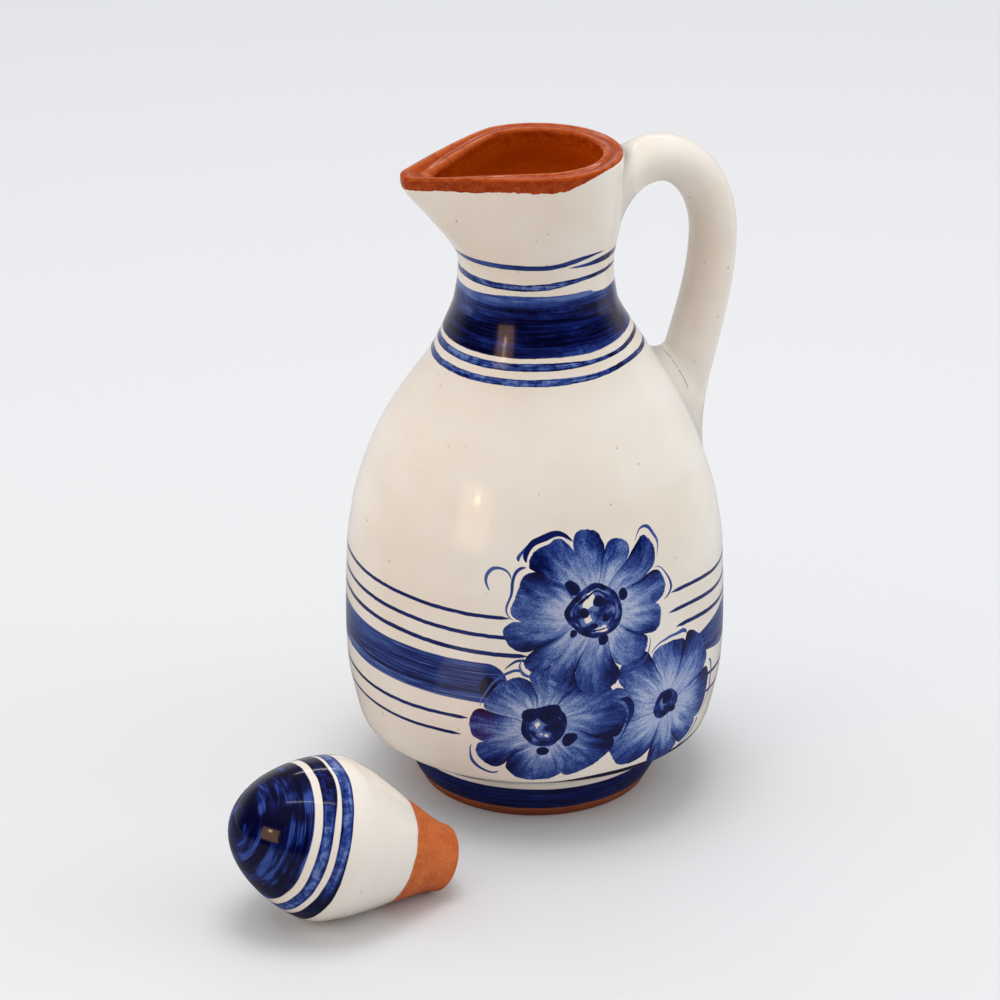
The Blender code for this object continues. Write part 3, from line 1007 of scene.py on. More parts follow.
class Lathe:
    """A node tree that turns a row of profile points round the Z axis into a closed body."""

    INPUTS = {
        "Profile": "Geometry", "Sides": "Int", "Ripple": "Float", "Seed": "Float",
        "Coat": "Material",
    }
    MARKS_PER_METRE = 110
    FULL_MARKS_AT = 50
    SEAM = 0.002 * MM

    def __init__(self) -> None:
        """Build the tree once, with its named inputs."""
        self.tree = bpy.data.node_groups.new("Turned clay", "GeometryNodeTree")
        face = self.tree.interface
        self.inputs = {
            name: face.new_socket(name, in_out="INPUT", socket_type="NodeSocket" + kind)
            for name, kind in self.INPUTS.items()
        }
        face.new_socket("Turned", in_out="OUTPUT", socket_type="NodeSocketGeometry")
        self._wire()

    def _wire(self) -> None:
        """Lay a grid of profile points by sides, bend it round the axis and close its seams."""
        bench = Bench(self.tree)
        profile = bench.add("NodeGroupInput")
        sides, ripple, seed, coat = (profile.beside(name) for name in list(self.INPUTS)[1:])
        asked = {0: profile}
        count = bench.add("GeometryNodeAttributeDomainSize", None, asked, "Point Count")
        asked = {"Vertices X": sides + 1, "Vertices Y": count}
        grid = bench.add("GeometryNodeMeshGrid", None, asked)
        index = bench.add("GeometryNodeInputIndex")
        column = bench.maths("FLOOR", (index + 0.5) / count)
        row = index - column * count
        turn = column / sides * math.tau
        place = bench.add("GeometryNodeInputPosition")
        asked = {"Geometry": profile, "Value": place, "Index": row}
        sample = bench.add("GeometryNodeSampleIndex", {"data_type": "FLOAT_VECTOR"}, asked)
        out, _, height = bench.parts(sample)
        asked = {"W": height * self.MARKS_PER_METRE + seed, "Scale": 1.0, "Detail": 2.0}
        marks = bench.add("TexNoise", {"noise_dimensions": "1D"}, asked)
        out = out - ripple * (marks * (out * self.FULL_MARKS_AT).least(1))
        cosine, sine = bench.maths("COSINE", turn), bench.maths("SINE", turn)
        asked = {"Geometry": grid, "Position": bench.vector(out * cosine, out * sine, height)}
        bent = bench.add("GeometryNodeSetPosition", None, asked)
        kind = {"data_type": "FLOAT", "domain": "POINT"}
        asked = {"Geometry": bent, "Name": "row", "Value": row}
        marked = bench.add("GeometryNodeStoreNamedAttribute", kind, asked)
        asked = {"Geometry": marked, "Distance": self.SEAM}
        closed = bench.add("GeometryNodeMergeByDistance", None, asked)
        real = bench.add("GeometryNodeRealizeInstances", None, {0: closed})
        asked = {"Geometry": real, "Material": coat}
        coated = bench.add("GeometryNodeSetMaterial", None, asked)
        bench.feed(self.tree.nodes.new("NodeGroupOutput").inputs[0], coated)

    def turn(
        self, name: str, profile: Shape, sides: int, ripple: float, seed: float,
        coat: bpy.types.Material,
    ) -> bpy.types.Object:
        """Turn a profile.

        Args:
            name: The piece's name.
            profile: Pairs of radius and height in millimetres, starting and ending on the axis.
            sides: Faces round the axis.
            ripple: Depth of the throwing marks in millimetres.
            seed: Where the marks fall.
            coat: The piece's material.

        Returns:
            The closed piece, as a plain mesh with the profile's row on each vertex.
        """
        points = bpy.data.meshes.new(name + "_profile")
        points.from_pydata([(r * MM, 0, z * MM) for r, z in profile], [], [])
        wheel = link(name + "_profile", points)
        modifier = wheel.modifiers.new("Lathe", "NODES")
        modifier.node_group = self.tree
        asked = {"Sides": sides, "Ripple": ripple * MM, "Seed": seed, "Coat": coat}
        for key, value in asked.items():
            modifier[self.inputs[key].identifier] = value
        graph = bpy.context.evaluated_depsgraph_get()
        mesh = bpy.data.meshes.new_from_object(wheel.evaluated_get(graph))
        wheel.modifiers.clear()
        bpy.data.objects.remove(wheel)
        mesh.name = name
        return link(name, mesh)


def evenly(radius_at: Callable[[float], float], low: float, high: float, count: int) -> np.ndarray:
    """Choose heights along a wall, closer where it turns.

    Args:
        radius_at: The wall's radius at a height.
        low: First height.
        high: Last height.
        count: How many heights.

    Returns:
        The heights, rising.
    """
    heights = np.linspace(low, high, WALL_SAMPLES)
    radii = np.array([radius_at(height) for height in heights])
    run = np.hypot(np.diff(heights), np.diff(radii))
    lean = np.arctan2(np.diff(radii), np.diff(heights))
    run[1:] += BEND_WEIGHT * np.abs(np.diff(lean))
    travelled = np.concatenate([[0], np.cumsum(run)])
    return np.interp(np.linspace(0, travelled[-1], count), travelled, heights)


@dataclass
class Vessel:
    """The thrown wall with its rolled lip, pulled spout and open inside."""

    foot_radius: float = 34.6
    foot_height: float = 12.5
    foot_edge: float = 1.0
    cove_radius: float = 39.7
    belly_radius: float = 58.2
    belly_height: float = 52.0
    throat_radius: float = 23.2
    throat_height: float = 168.0
    lip_radius: float = 26.0
    lip_height: float = 203.0
    wall: float = 4.5
    base: float = 9.0
    floor_fillet: float = 9.0
    lip_width: float = 6.5
    lip_edge: float = 1.35
    lip_roll: float = 3.6
    lip_swell: float = 9.0
    lip_saddle: float = 0.45
    ridge_reach: float = 1.7
    spout_length: float = 16.0
    spout_tip: float = 6.2
    channel_tip: float = 3.4
    spout_depth: float = 32.0
    spout_edge: float = 3.2
    spout_drop: float = 2.2
    flank_spread: float = math.radians(22)
    trough_dip: float = 2.2
    trough_setback: float = 3.6
    trough_run: float = 15.0
    swell_depth: float = 2.9
    swell_height: float = 137.0
    swell_rise: float = 22.0
    swell_fall: float = 34.0
    swell_spread: float = math.radians(52)
    clay_lip: float = 4.3
    # Painted shade: the darker colour the foot's bare clay takes towards the table.
    shaded_foot_clay: Colour = (96, 40, 18)
    sides: int = 256
    rows_outside: int = 150
    rows_inside: int = 76
    rows_over_lip: int = 13
    probe_lean: float = 1.4
    probes: int = 61
    ripple: float = 0.08
    ripple_seed: float = 4.0
    inside_below_lip: float = 2.0
    inside_run: float = 5.0
    foot_shape: Shape = ((0, 0), (0.09, 0.17), (0.28, 0.45), (0.64, 0.86), (1, 1))
    underside_shape: Shape = (
        (0, 0), (0.09, 0.24), (0.24, 0.755), (0.443, 0.875), (0.7, 0.973), (1, 1),
    )
    shoulder_shape: Shape = (
        (0, 0), (0.22, 0.02), (0.34, 0.075), (0.46, 0.19), (0.57, 0.355),
        (0.66, 0.54), (0.74, 0.725), (0.83, 0.87), (0.91, 0.965), (1, 1),
    )
    neck_shape: Shape = ((0, 0), (0.15, 0.2), (0.3, 0.56), (0.5, 0.87), (0.75, 0.99), (1, 1))
    spout_shape: Shape = (
        (0, 0), (0.16, 0.08), (0.28, 0.18), (0.4, 0.32), (0.67, 0.67), (0.85, 0.88), (1, 1),
    )
    front: Front = field(default_factory=Front)

    def __post_init__(self) -> None:
        """Work out the outline and the spout's pull."""
        levels = (0, self.foot_height, self.belly_height, self.throat_height, self.lip_height)
        girths = (
            self.foot_radius, self.cove_radius, self.belly_radius, self.throat_radius,
            self.lip_radius,
        )
        shapes = (
            self.foot_shape, self.underside_shape[1:], self.shoulder_shape[1:],
            self.neck_shape[1:],
        )
        self.outer = SmoothCurve([
            (mix(levels[i], levels[i + 1], up), mix(girths[i], girths[i + 1], out))
            for i, shape in enumerate(shapes)
            for up, out in shape
        ])
        self.pull = SmoothCurve(self.spout_shape)

    def wall_at(self, height: Numbers) -> Numbers:
        """Give the wall's thickness, which swells to the lip's width."""
        swelling = height - (self.lip_height - self.lip_roll - self.lip_swell)
        return mix(self.wall, self.lip_width, smooth(swelling / self.lip_swell))

    def inner(self, height: float) -> float:
        """Give the inside radius, with the wall measured square to the outside.

        Args:
            height: A height on the wall.

        Returns:
            The radius there.
        """
        wall = self.wall_at(height)
        lean = np.linspace(-self.probe_lean, self.probe_lean, self.probes)
        near = np.clip(height + wall * np.sin(lean), 0, self.lip_height)
        radius = float(np.min(self.outer(near) - wall * np.cos(lean)))
        corner = float(np.clip((height - self.base) / self.floor_fillet, 0, 1))
        return radius - self.floor_fillet * (1 - math.sqrt(1 - (1 - corner) ** 2))

    def profile(self) -> tuple[list[tuple[float, float]], np.ndarray, np.ndarray]:
        """Lay the section from the middle of the base round the lip to the floor inside.

        Returns:
            The points, the depth below the rim of those outside or -1, and how much of a
            ridge each is.
        """
        edge = self.lip_edge
        edge_height = self.lip_height - edge
        outer_middle = float(self.outer(edge_height)) - edge
        inner_middle = self.inner(edge_height) + edge
        foot_middle = float(self.outer(self.foot_edge)) - self.foot_edge
        points = [(self.foot_radius * share, 0.0) for share in (0, 0.3, 0.6, 0.85)]
        points += arc(foot_middle, self.foot_edge, self.foot_edge, -1, 0)
        heights = evenly(self.outer, self.foot_edge, edge_height, self.rows_outside)
        points += [(float(self.outer(h)), h) for h in heights[1:-1]]
        points += arc(outer_middle, edge_height, edge, 0, 1)
        outside = len(points)
        for share in np.linspace(0, 1, self.rows_over_lip)[1:-1]:
            dip = self.lip_saddle * math.sin(math.pi * share) ** 1.5
            points.append((mix(outer_middle, inner_middle, share), self.lip_height - dip))
        points += arc(inner_middle, edge_height, edge, 1, 2)
        heights = evenly(self.inner, self.base, edge_height, self.rows_inside)[::-1]
        points += [(self.inner(h), h) for h in heights[1:]]
        floor = points[-1][0]
        points += [(floor * share, self.base) for share in (0.8, 0.5, 0.25, 0)]
        radii, heights = np.array(points).T
        depth = np.where(np.arange(len(points)) < outside, self.lip_height - heights, -1.0)
        near = [
            np.hypot(radii - middle, heights - self.lip_height)
            for middle in (outer_middle, inner_middle)
        ]
        return points, depth, smooth(1 - np.minimum(*near) / self.ridge_reach)

    def swollen(self, points: np.ndarray) -> np.ndarray:
        """Swell the shoulder outside, where the handle's clay was smoothed upwards.

        Args:
            points: Vertex places in millimetres, one in a row.

        Returns:
            The places after the swelling.
        """
        x, y, z = points.T
        radius = np.hypot(x, y)
        up = z - self.swell_height
        away = np.hypot(
            up / np.where(up > 0, self.swell_rise, self.swell_fall),
            np.arctan2(y, x) / self.swell_spread,
        )
        outside = (radius > self.outer(z) - self.wall / 2) & (z > self.foot_height)
        out = np.where(outside, self.swell_depth * smooth(1 - away), 0)
        share = 1 + out / np.maximum(radius, 1e-6)
        return np.stack([x * share, y * share, z], axis=1)

    def pulled(self, points: np.ndarray) -> np.ndarray:
        """Pull the spout out of the round mouth.

        Args:
            points: Vertex places in millimetres, one in a row.

        Returns:
            The places after the pull.
        """
        x, y, z = points.T
        radius = np.hypot(x, y)
        start = self.lip_height - self.spout_depth
        moving = (radius > self.wall) & (z > start)
        share_up = np.clip((z - start) / (self.spout_depth - self.spout_edge), 0, 1)
        from_spout = np.abs(np.arctan2(y, -x))
        depth = np.clip((self.outer(z) - radius) / self.wall_at(z), 0, 1)
        tip = mix(self.spout_tip, self.channel_tip, depth)
        reach = self.lip_radius + self.spout_length - self.lip_width * depth - tip
        narrowing = self.lip_radius - self.spout_tip
        flank = math.acos(narrowing / (narrowing + self.spout_length))
        spread = smooth((flank - from_spout) / (2 * self.flank_spread) + 0.5)
        pull = np.where(moving, self.pull(share_up) * spread, 0)
        round_radius = mix(radius, tip, pull)
        safe = np.maximum(radius, 1e-6)
        drop = self.spout_drop * pull * smooth(2 * share_up - 1)
        trough = depth * pull * smooth(1 - (self.lip_height - z) / self.trough_run)
        moved = (
            x / safe * round_radius - reach * pull + self.trough_setback * trough,
            y / safe * round_radius,
            z - drop - self.trough_dip * trough,
        )
        return np.stack(moved, axis=1)

    def coat(self) -> bpy.types.Material:
        """Paint and glaze the vessel, with painted shade on the bare foot.

        Returns:
            The material.
        """
        bench = Coat.material("painted_cream_and_clay")
        cream, clear, bare = Finish.CREAM.value, Finish.CLEAR.value, Finish.BARE.value
        point = bench.place_mm()
        canvas = Canvas(bench, point)
        self.front.paint(canvas)
        painted = canvas.over(cream.lay(bench, point))
        depth = bench.attribute("below_rim")
        ragged = canvas.grain(Grain(3.4, 9, 6, 3, 0.6)) - 0.5
        broad = canvas.grain(Grain(15, 15, 1, 1)) - 0.5
        high = canvas.turn.eased(-8, 36) * canvas.turn.eased(165, 120)
        calm = 1 - high * 0.75
        line = self.clay_lip - high * 3.6 + (ragged * 1.7 + broad * 1.6) * calm
        glazed = depth.eased(line - 0.12, line + 0.12)
        glossy = clear.lay(bench, point, bench.attribute("ridge"), bench.attribute("inside"))
        colour = bench.blend(glazed, glossy, painted)
        low = self.front.foot_band[0]
        foot = (canvas.height + ragged * 0.9).eased(low + 0.1, low - 0.1) * depth.eased(50, 60)
        # Painted shade: the foot's bare clay darkens towards the table, standing in for its contact
        # shadow.
        foot_shade_share = canvas.height.eased(4, 0.5) * 0.35 + 0.45
        shaded_foot_clay = bench.blend(foot_shade_share, bare.lay(bench, point), self.shaded_foot_clay)
        bench.finish("Base Color", bench.blend(foot, colour, shaded_foot_clay))
        sheen = canvas.grain(Grain(16, 10, 2)) * 0.05
        rough = (bare.roughness - cream.roughness) * foot + cream.roughness + sheen
        bench.finish("Roughness", rough)
        step = depth.eased(line - 0.5, line + 0.4) * 0.5
        dimples = canvas.grain(Grain(1.7, 1.2, 4)) * (1 - glazed) * 0.28
        pool = canvas.grain(Grain(7, 5, 4)) * 0.1 + dimples
        bench.bump(step + pool + canvas.grain(Grain(0.7, 0.7, 6, 3)) * foot * 0.4)
        return bench.owner

    def build(self, lathe: Lathe) -> bpy.types.Object:
        """Turn the wall, pull its spout and coat it.

        Args:
            lathe: The lathe.

        Returns:
            The finished piece.
        """
        points, depth, ridge = self.profile()
        ripple, seed = self.ripple, self.ripple_seed
        piece = lathe.turn("vessel_clay", points, self.sides, ripple, seed, self.coat())
        mesh = piece.data
        places = np.empty(len(mesh.vertices) * 3)
        mesh.vertices.foreach_get("co", places)
        rows = np.empty(len(mesh.vertices), np.float32)
        mesh.attributes["row"].data.foreach_get("value", rows)
        rows = np.clip(np.rint(rows).astype(int), 0, len(points) - 1)
        places = self.pulled(self.swollen(places.reshape(-1, 3) / MM)) * MM
        mesh.vertices.foreach_set("co", places.ravel())
        # Painted light: how far down the inside each point lies, which lightens the glaze there.
        below = self.lip_height - self.inside_below_lip - np.array(points)[:, 1]
        inside = smooth(below / self.inside_run)
        inside = np.where(depth < 0, inside, 0)
        layers = {"below_rim": depth, "ridge": ridge, "inside": inside}
        store(mesh, {name: values[rows] for name, values in layers.items()})
        mesh.attributes.remove(mesh.attributes["row"])
        face_outwards(mesh)
        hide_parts("vessel")
        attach(piece, "carafe")
        return piece


@dataclass
class Handle:
    """The pulled loop from under the lip to the shoulder, smoothed out at both roots."""

    vessel: Vessel
    skin: BVHTree
    width: float = 16.4
    thickness: float = 14.2
    swell: float = 1.10
    crest_below_lip: float = 6.6
    crest_from_neck: float = 12.0
    finger_room: float = 26.5
    fall_from_crest: float = 25.4
    root_pull: float = 0.4
    root_climb: float = 0.62
    shoulder_pull: float = 0.36
    shoulder_off: float = 1.4
    upper_below_lip: float = 11.0
    upper_rise: float = 8.6
    upper_tail: float = 17.0
    upper_half_width: float = 16.5
    upper_flare: float = 11.5
    lower_height: float = 119.0
    lower_rise: float = 17.5
    lower_tail: float = 26.0
    lower_half_width: float = 12.0
    lower_flare: float = 15.5
    landing: float = math.radians(1)
    sunk: float = 0.03
    crack: Colour = (122, 88, 62)
    sides: int = 72
    rings: int = 90
    curve_points: int = 160
    flare_rings: int = 26
    smoothed: float = 0.85
    probe_turn: float = 0.03
    probe_rise: float = 1.0
    probe_below_lip: float = 4.0

    def on_vessel(self, turn: float, height: float, off: float) -> tuple[Vector, Vector]:
        """Find a point off the vessel's outside.

        Args:
            turn: Angle from the handle's side.
            height: Height on the vessel.
            off: Distance off the surface.

        Returns:
            The point and the surface's normal.
        """
        outward = Vector((math.cos(turn), math.sin(turn), 0))
        start = outward * (2 * self.vessel.belly_radius) + Vector((0, 0, height))
        surface, normal, _, _ = self.skin.ray_cast(start * MM, -outward)
        return surface / MM + normal * off, normal

    def around(self) -> np.ndarray:
        """Give the angles round the handle, from its outer side."""
        return np.linspace(0, math.tau, self.sides, endpoint=False)

    def path(self) -> Way:
        """Lay the middle line as three curves.

        Returns:
            The line from the neck to the shoulder.
        """
        outer = self.vessel.outer
        lip = self.vessel.lip_height
        root = np.array((float(outer(lip - self.upper_below_lip)), lip - self.upper_below_lip))
        crest = np.array((root[0] + self.crest_from_neck, lip - self.crest_below_lip))
        reach = self.vessel.throat_radius + self.finger_room + self.thickness / 2
        outermost = np.array((reach, crest[1] - self.fall_from_crest))
        lower = float(outer(self.lower_height)) + self.shoulder_off
        shoulder = np.array((lower, self.lower_height))
        quarter = (math.sqrt(2) - 1) * 4 / 3
        pull = np.array((self.root_pull * self.crest_from_neck, 0))
        climb = np.array((0, self.root_climb * (crest[1] - root[1])))
        out = np.array((quarter * (outermost[0] - crest[0]), 0))
        drop = np.array((0, quarter * self.fall_from_crest))
        fall = np.array((0, self.shoulder_pull * (outermost[1] - shoulder[1])))
        lean = np.array((self.shoulder_pull * (outermost[0] - shoulder[0]), 0))
        stretches = (
            (root, root + pull + climb, crest - pull, crest),
            (crest, crest + out, outermost + drop, outermost),
            (outermost, outermost - fall, shoulder + lean + fall, shoulder),
        )
        t = np.linspace(0, 1, self.curve_points)[:-1, None]
        line = [
            a * (1 - t) ** 3 + 3 * b * t * (1 - t) ** 2 + 3 * c * t**2 * (1 - t) + d * t**3
            for a, b, c, d in stretches
        ]
        flat = np.concatenate(line + [shoulder[None, :]])
        return Way(np.stack([flat[:, 0], np.zeros(len(flat)), flat[:, 1]], axis=1))

    def section(self, middle: Vector, heading: Vector, swell: float) -> list[Vector]:
        """Lay one oval ring square to the handle.

        Args:
            middle: Its middle.
            heading: The way along the handle.
            swell: Its size as a share of the section at the top.

        Returns:
            The ring of points.
        """
        across = Vector((0, 1, 0))
        outward = across.cross(heading) * -1
        return [
            middle
            + outward * (0.5 * self.thickness * swell * math.cos(turn))
            + across * (0.5 * self.width * swell * math.sin(turn))
            for turn in self.around()
        ]

    def rim(
        self, height: float, first_rise: float, last_rise: float, half_width: float, way_up: int
    ) -> list[Vector]:
        """Lay the edge of a root on the vessel.

        Args:
            height: The root's middle.
            first_rise: How far it spreads on the handle's outer side.
            last_rise: How far it spreads on the inner side.
            half_width: How far it spreads sideways.
            way_up: 1 where the outer side is above, -1 where it is below.

        Returns:
            The ring of points, just inside the vessel's surface.
        """
        ring = []
        for turn in self.around():
            rise = first_rise if math.cos(turn) > 0 else last_rise
            level = height + way_up * rise * math.cos(turn)
            azimuth = half_width * math.sin(turn) / float(self.vessel.outer(level))
            ring.append(self.on_vessel(azimuth, level, -self.sunk)[0])
        return ring

    def flare(
        self, section: list[Vector], heading: Vector, rim: list[Vector], centre: Vector
    ) -> list[list[Vector]]:
        """Spread the handle's section to the rim of a root.

        Args:
            section: The handle's last ring.
            heading: The way on towards the root.
            rim: The root's edge.
            centre: The root's middle.

        Returns:
            The rings between, without the first and with the rim.
        """
        rings = []
        for t in np.linspace(0, 1, self.flare_rings + 1)[1:]:
            ring = []
            for start, end in zip(section, rim):
                length = (end - start).length
                normal = self.on_vessel(math.atan2(end.y, end.x), end.z, 0)[1]
                spread = end - centre
                spread = (spread - normal * spread.dot(normal)).normalized()
                landing = spread * math.cos(self.landing) - normal * math.sin(self.landing)
                ring.append(
                    start * ((1 + 2 * t) * (1 - t) ** 2)
                    + heading * (length * t * (1 - t) ** 2)
                    + end * (t * t * (3 - 2 * t))
                    - landing * (length * t * t * (1 - t))
                )
            rings.append(ring)
        return rings

    def skin_normal(self, point: Vector) -> Vector:
        """Find the vessel's even normal beside a point, across a few of its faces.

        Args:
            point: A point near the vessel.

        Returns:
            The normal.
        """
        side, rise = self.probe_turn, self.probe_rise
        turn = math.atan2(point.y, point.x)
        level = min(point.z, self.vessel.lip_height - self.probe_below_lip)
        left, right = (self.on_vessel(turn + s, level, 0)[0] for s in (-side, side))
        low, high = (self.on_vessel(turn, level + s, 0)[0] for s in (-rise, rise))
        return (right - left).cross(high - low).normalized()

    def smooth_in(self, mesh: bpy.types.Mesh, rings: list[list[Vector]]) -> None:
        """Turn the shading of both roots' edges towards the vessel's, as smoothed clay has.

        Args:
            mesh: The handle's mesh.
            rings: Its rings, from the upper rim to the lower.
        """
        normals = [Vector(vertex.vector) for vertex in mesh.vertex_normals]
        last = len(rings) - 1
        for number, ring in enumerate(rings):
            share = 1 - min(number, last - number) / (self.flare_rings * self.smoothed)
            if share <= 0:
                continue
            weight = float(smooth(share))
            for place, point in enumerate(ring):
                index = number * self.sides + place
                normals[index] = normals[index].lerp(self.skin_normal(point), weight).normalized()
        mesh.normals_split_custom_set_from_vertices(normals)

    def coat(self) -> bpy.types.Material:
        """Glaze the handle, with its fine crack above the lower root.

        Returns:
            The material.
        """
        bench = Coat.material("plain_cream")
        cream = Finish.CREAM.value
        point = bench.place_mm()
        colour = cream.lay(bench, point)
        wander = bench.grain(point, Grain(3, 3, 2, 3)) - 0.5
        side = bench.attribute("inner_side")
        drift = (1 - side) * 0.24 + 0.38
        off = bench.attribute("root_share") - drift + wander * 0.1
        line = off.within(0.005, 0.012) * side.eased(0.0, 0.2)
        broken = bench.grain(point, Grain(1.6, 1.6, 5)).eased(0.36, 0.5)
        bench.finish("Base Color", bench.blend(line * broken * 0.75, colour, self.crack))
        sheen = bench.grain(point, Grain(14, 14, 2)) * 0.05
        bench.finish("Roughness", sheen + cream.roughness)
        bench.bump(bench.grain(point, Grain(8, 8, 4)) * 0.25 - line * 0.3)
        return bench.owner

    def shape(self) -> tuple[list[list[Vector]], list[float], tuple[Vector, Vector]]:
        """Sweep the loop and spread its roots.

        Returns:
            The rings from the upper rim to the lower, how far down the lower root each is,
            and the middles of both roots.
        """
        way = self.path()
        distances = np.linspace(self.upper_flare, way.total - self.lower_flare, self.rings)
        tube = [
            self.section(
                way.place(d),
                way.heading(d),
                mix(1, self.swell, float(smooth(2 * d / way.total - 1))),
            )
            for d in distances
        ]
        upper_height = self.vessel.lip_height - self.upper_below_lip
        upper = self.rim(upper_height, self.upper_rise, self.upper_tail, self.upper_half_width, 1)
        lower = self.rim(
            self.lower_height, self.lower_tail, self.lower_rise, self.lower_half_width, -1
        )
        first = self.on_vessel(0, upper_height, -self.sunk)[0]
        last = self.on_vessel(0, self.lower_height, -self.sunk)[0]
        top = self.flare(tube[0], -way.heading(distances[0]), upper, first)
        bottom = self.flare(tube[-1], way.heading(distances[-1]), lower, last)
        down_root = list(np.linspace(0, 1, len(bottom) + 1)[1:])
        shares = [0.0] * (len(top) + len(tube)) + down_root
        return top[::-1] + tube + bottom, shares, (first, last)

    def build(self) -> bpy.types.Object:
        """Close the rings into a mesh and glaze it.

        Returns:
            The finished piece.
        """
        rings, root_share, middles = self.shape()
        n = self.sides
        last, hub = (len(rings) - 1) * n, len(rings) * n
        beside = [(i, (i + 1) % n) for i in range(n)]
        faces = [
            (a * n + i, a * n + j, (a + 1) * n + j, (a + 1) * n + i)
            for a in range(len(rings) - 1)
            for i, j in beside
        ]
        faces += [(hub, i, j) for i, j in beside]
        faces += [(hub + 1, last + i, last + j) for i, j in beside]
        mesh = bpy.data.meshes.new("handle_clay")
        vertices = [point * MM for ring in rings for point in ring]
        mesh.from_pydata(vertices + [middle * MM for middle in middles], [], faces)
        shares = np.append(np.repeat(root_share, n), (0.0, 1.0))
        sides = np.append(np.tile(-np.cos(self.around()), len(rings)), (0.0, 0.0))
        store(mesh, {"root_share": shares, "inner_side": sides})
        mesh.materials.append(self.coat())
        face_outwards(mesh)
        self.smooth_in(mesh, rings)
        piece = link("handle_clay", mesh)
        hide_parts("handle")
        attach(piece, "carafe")
        return piece


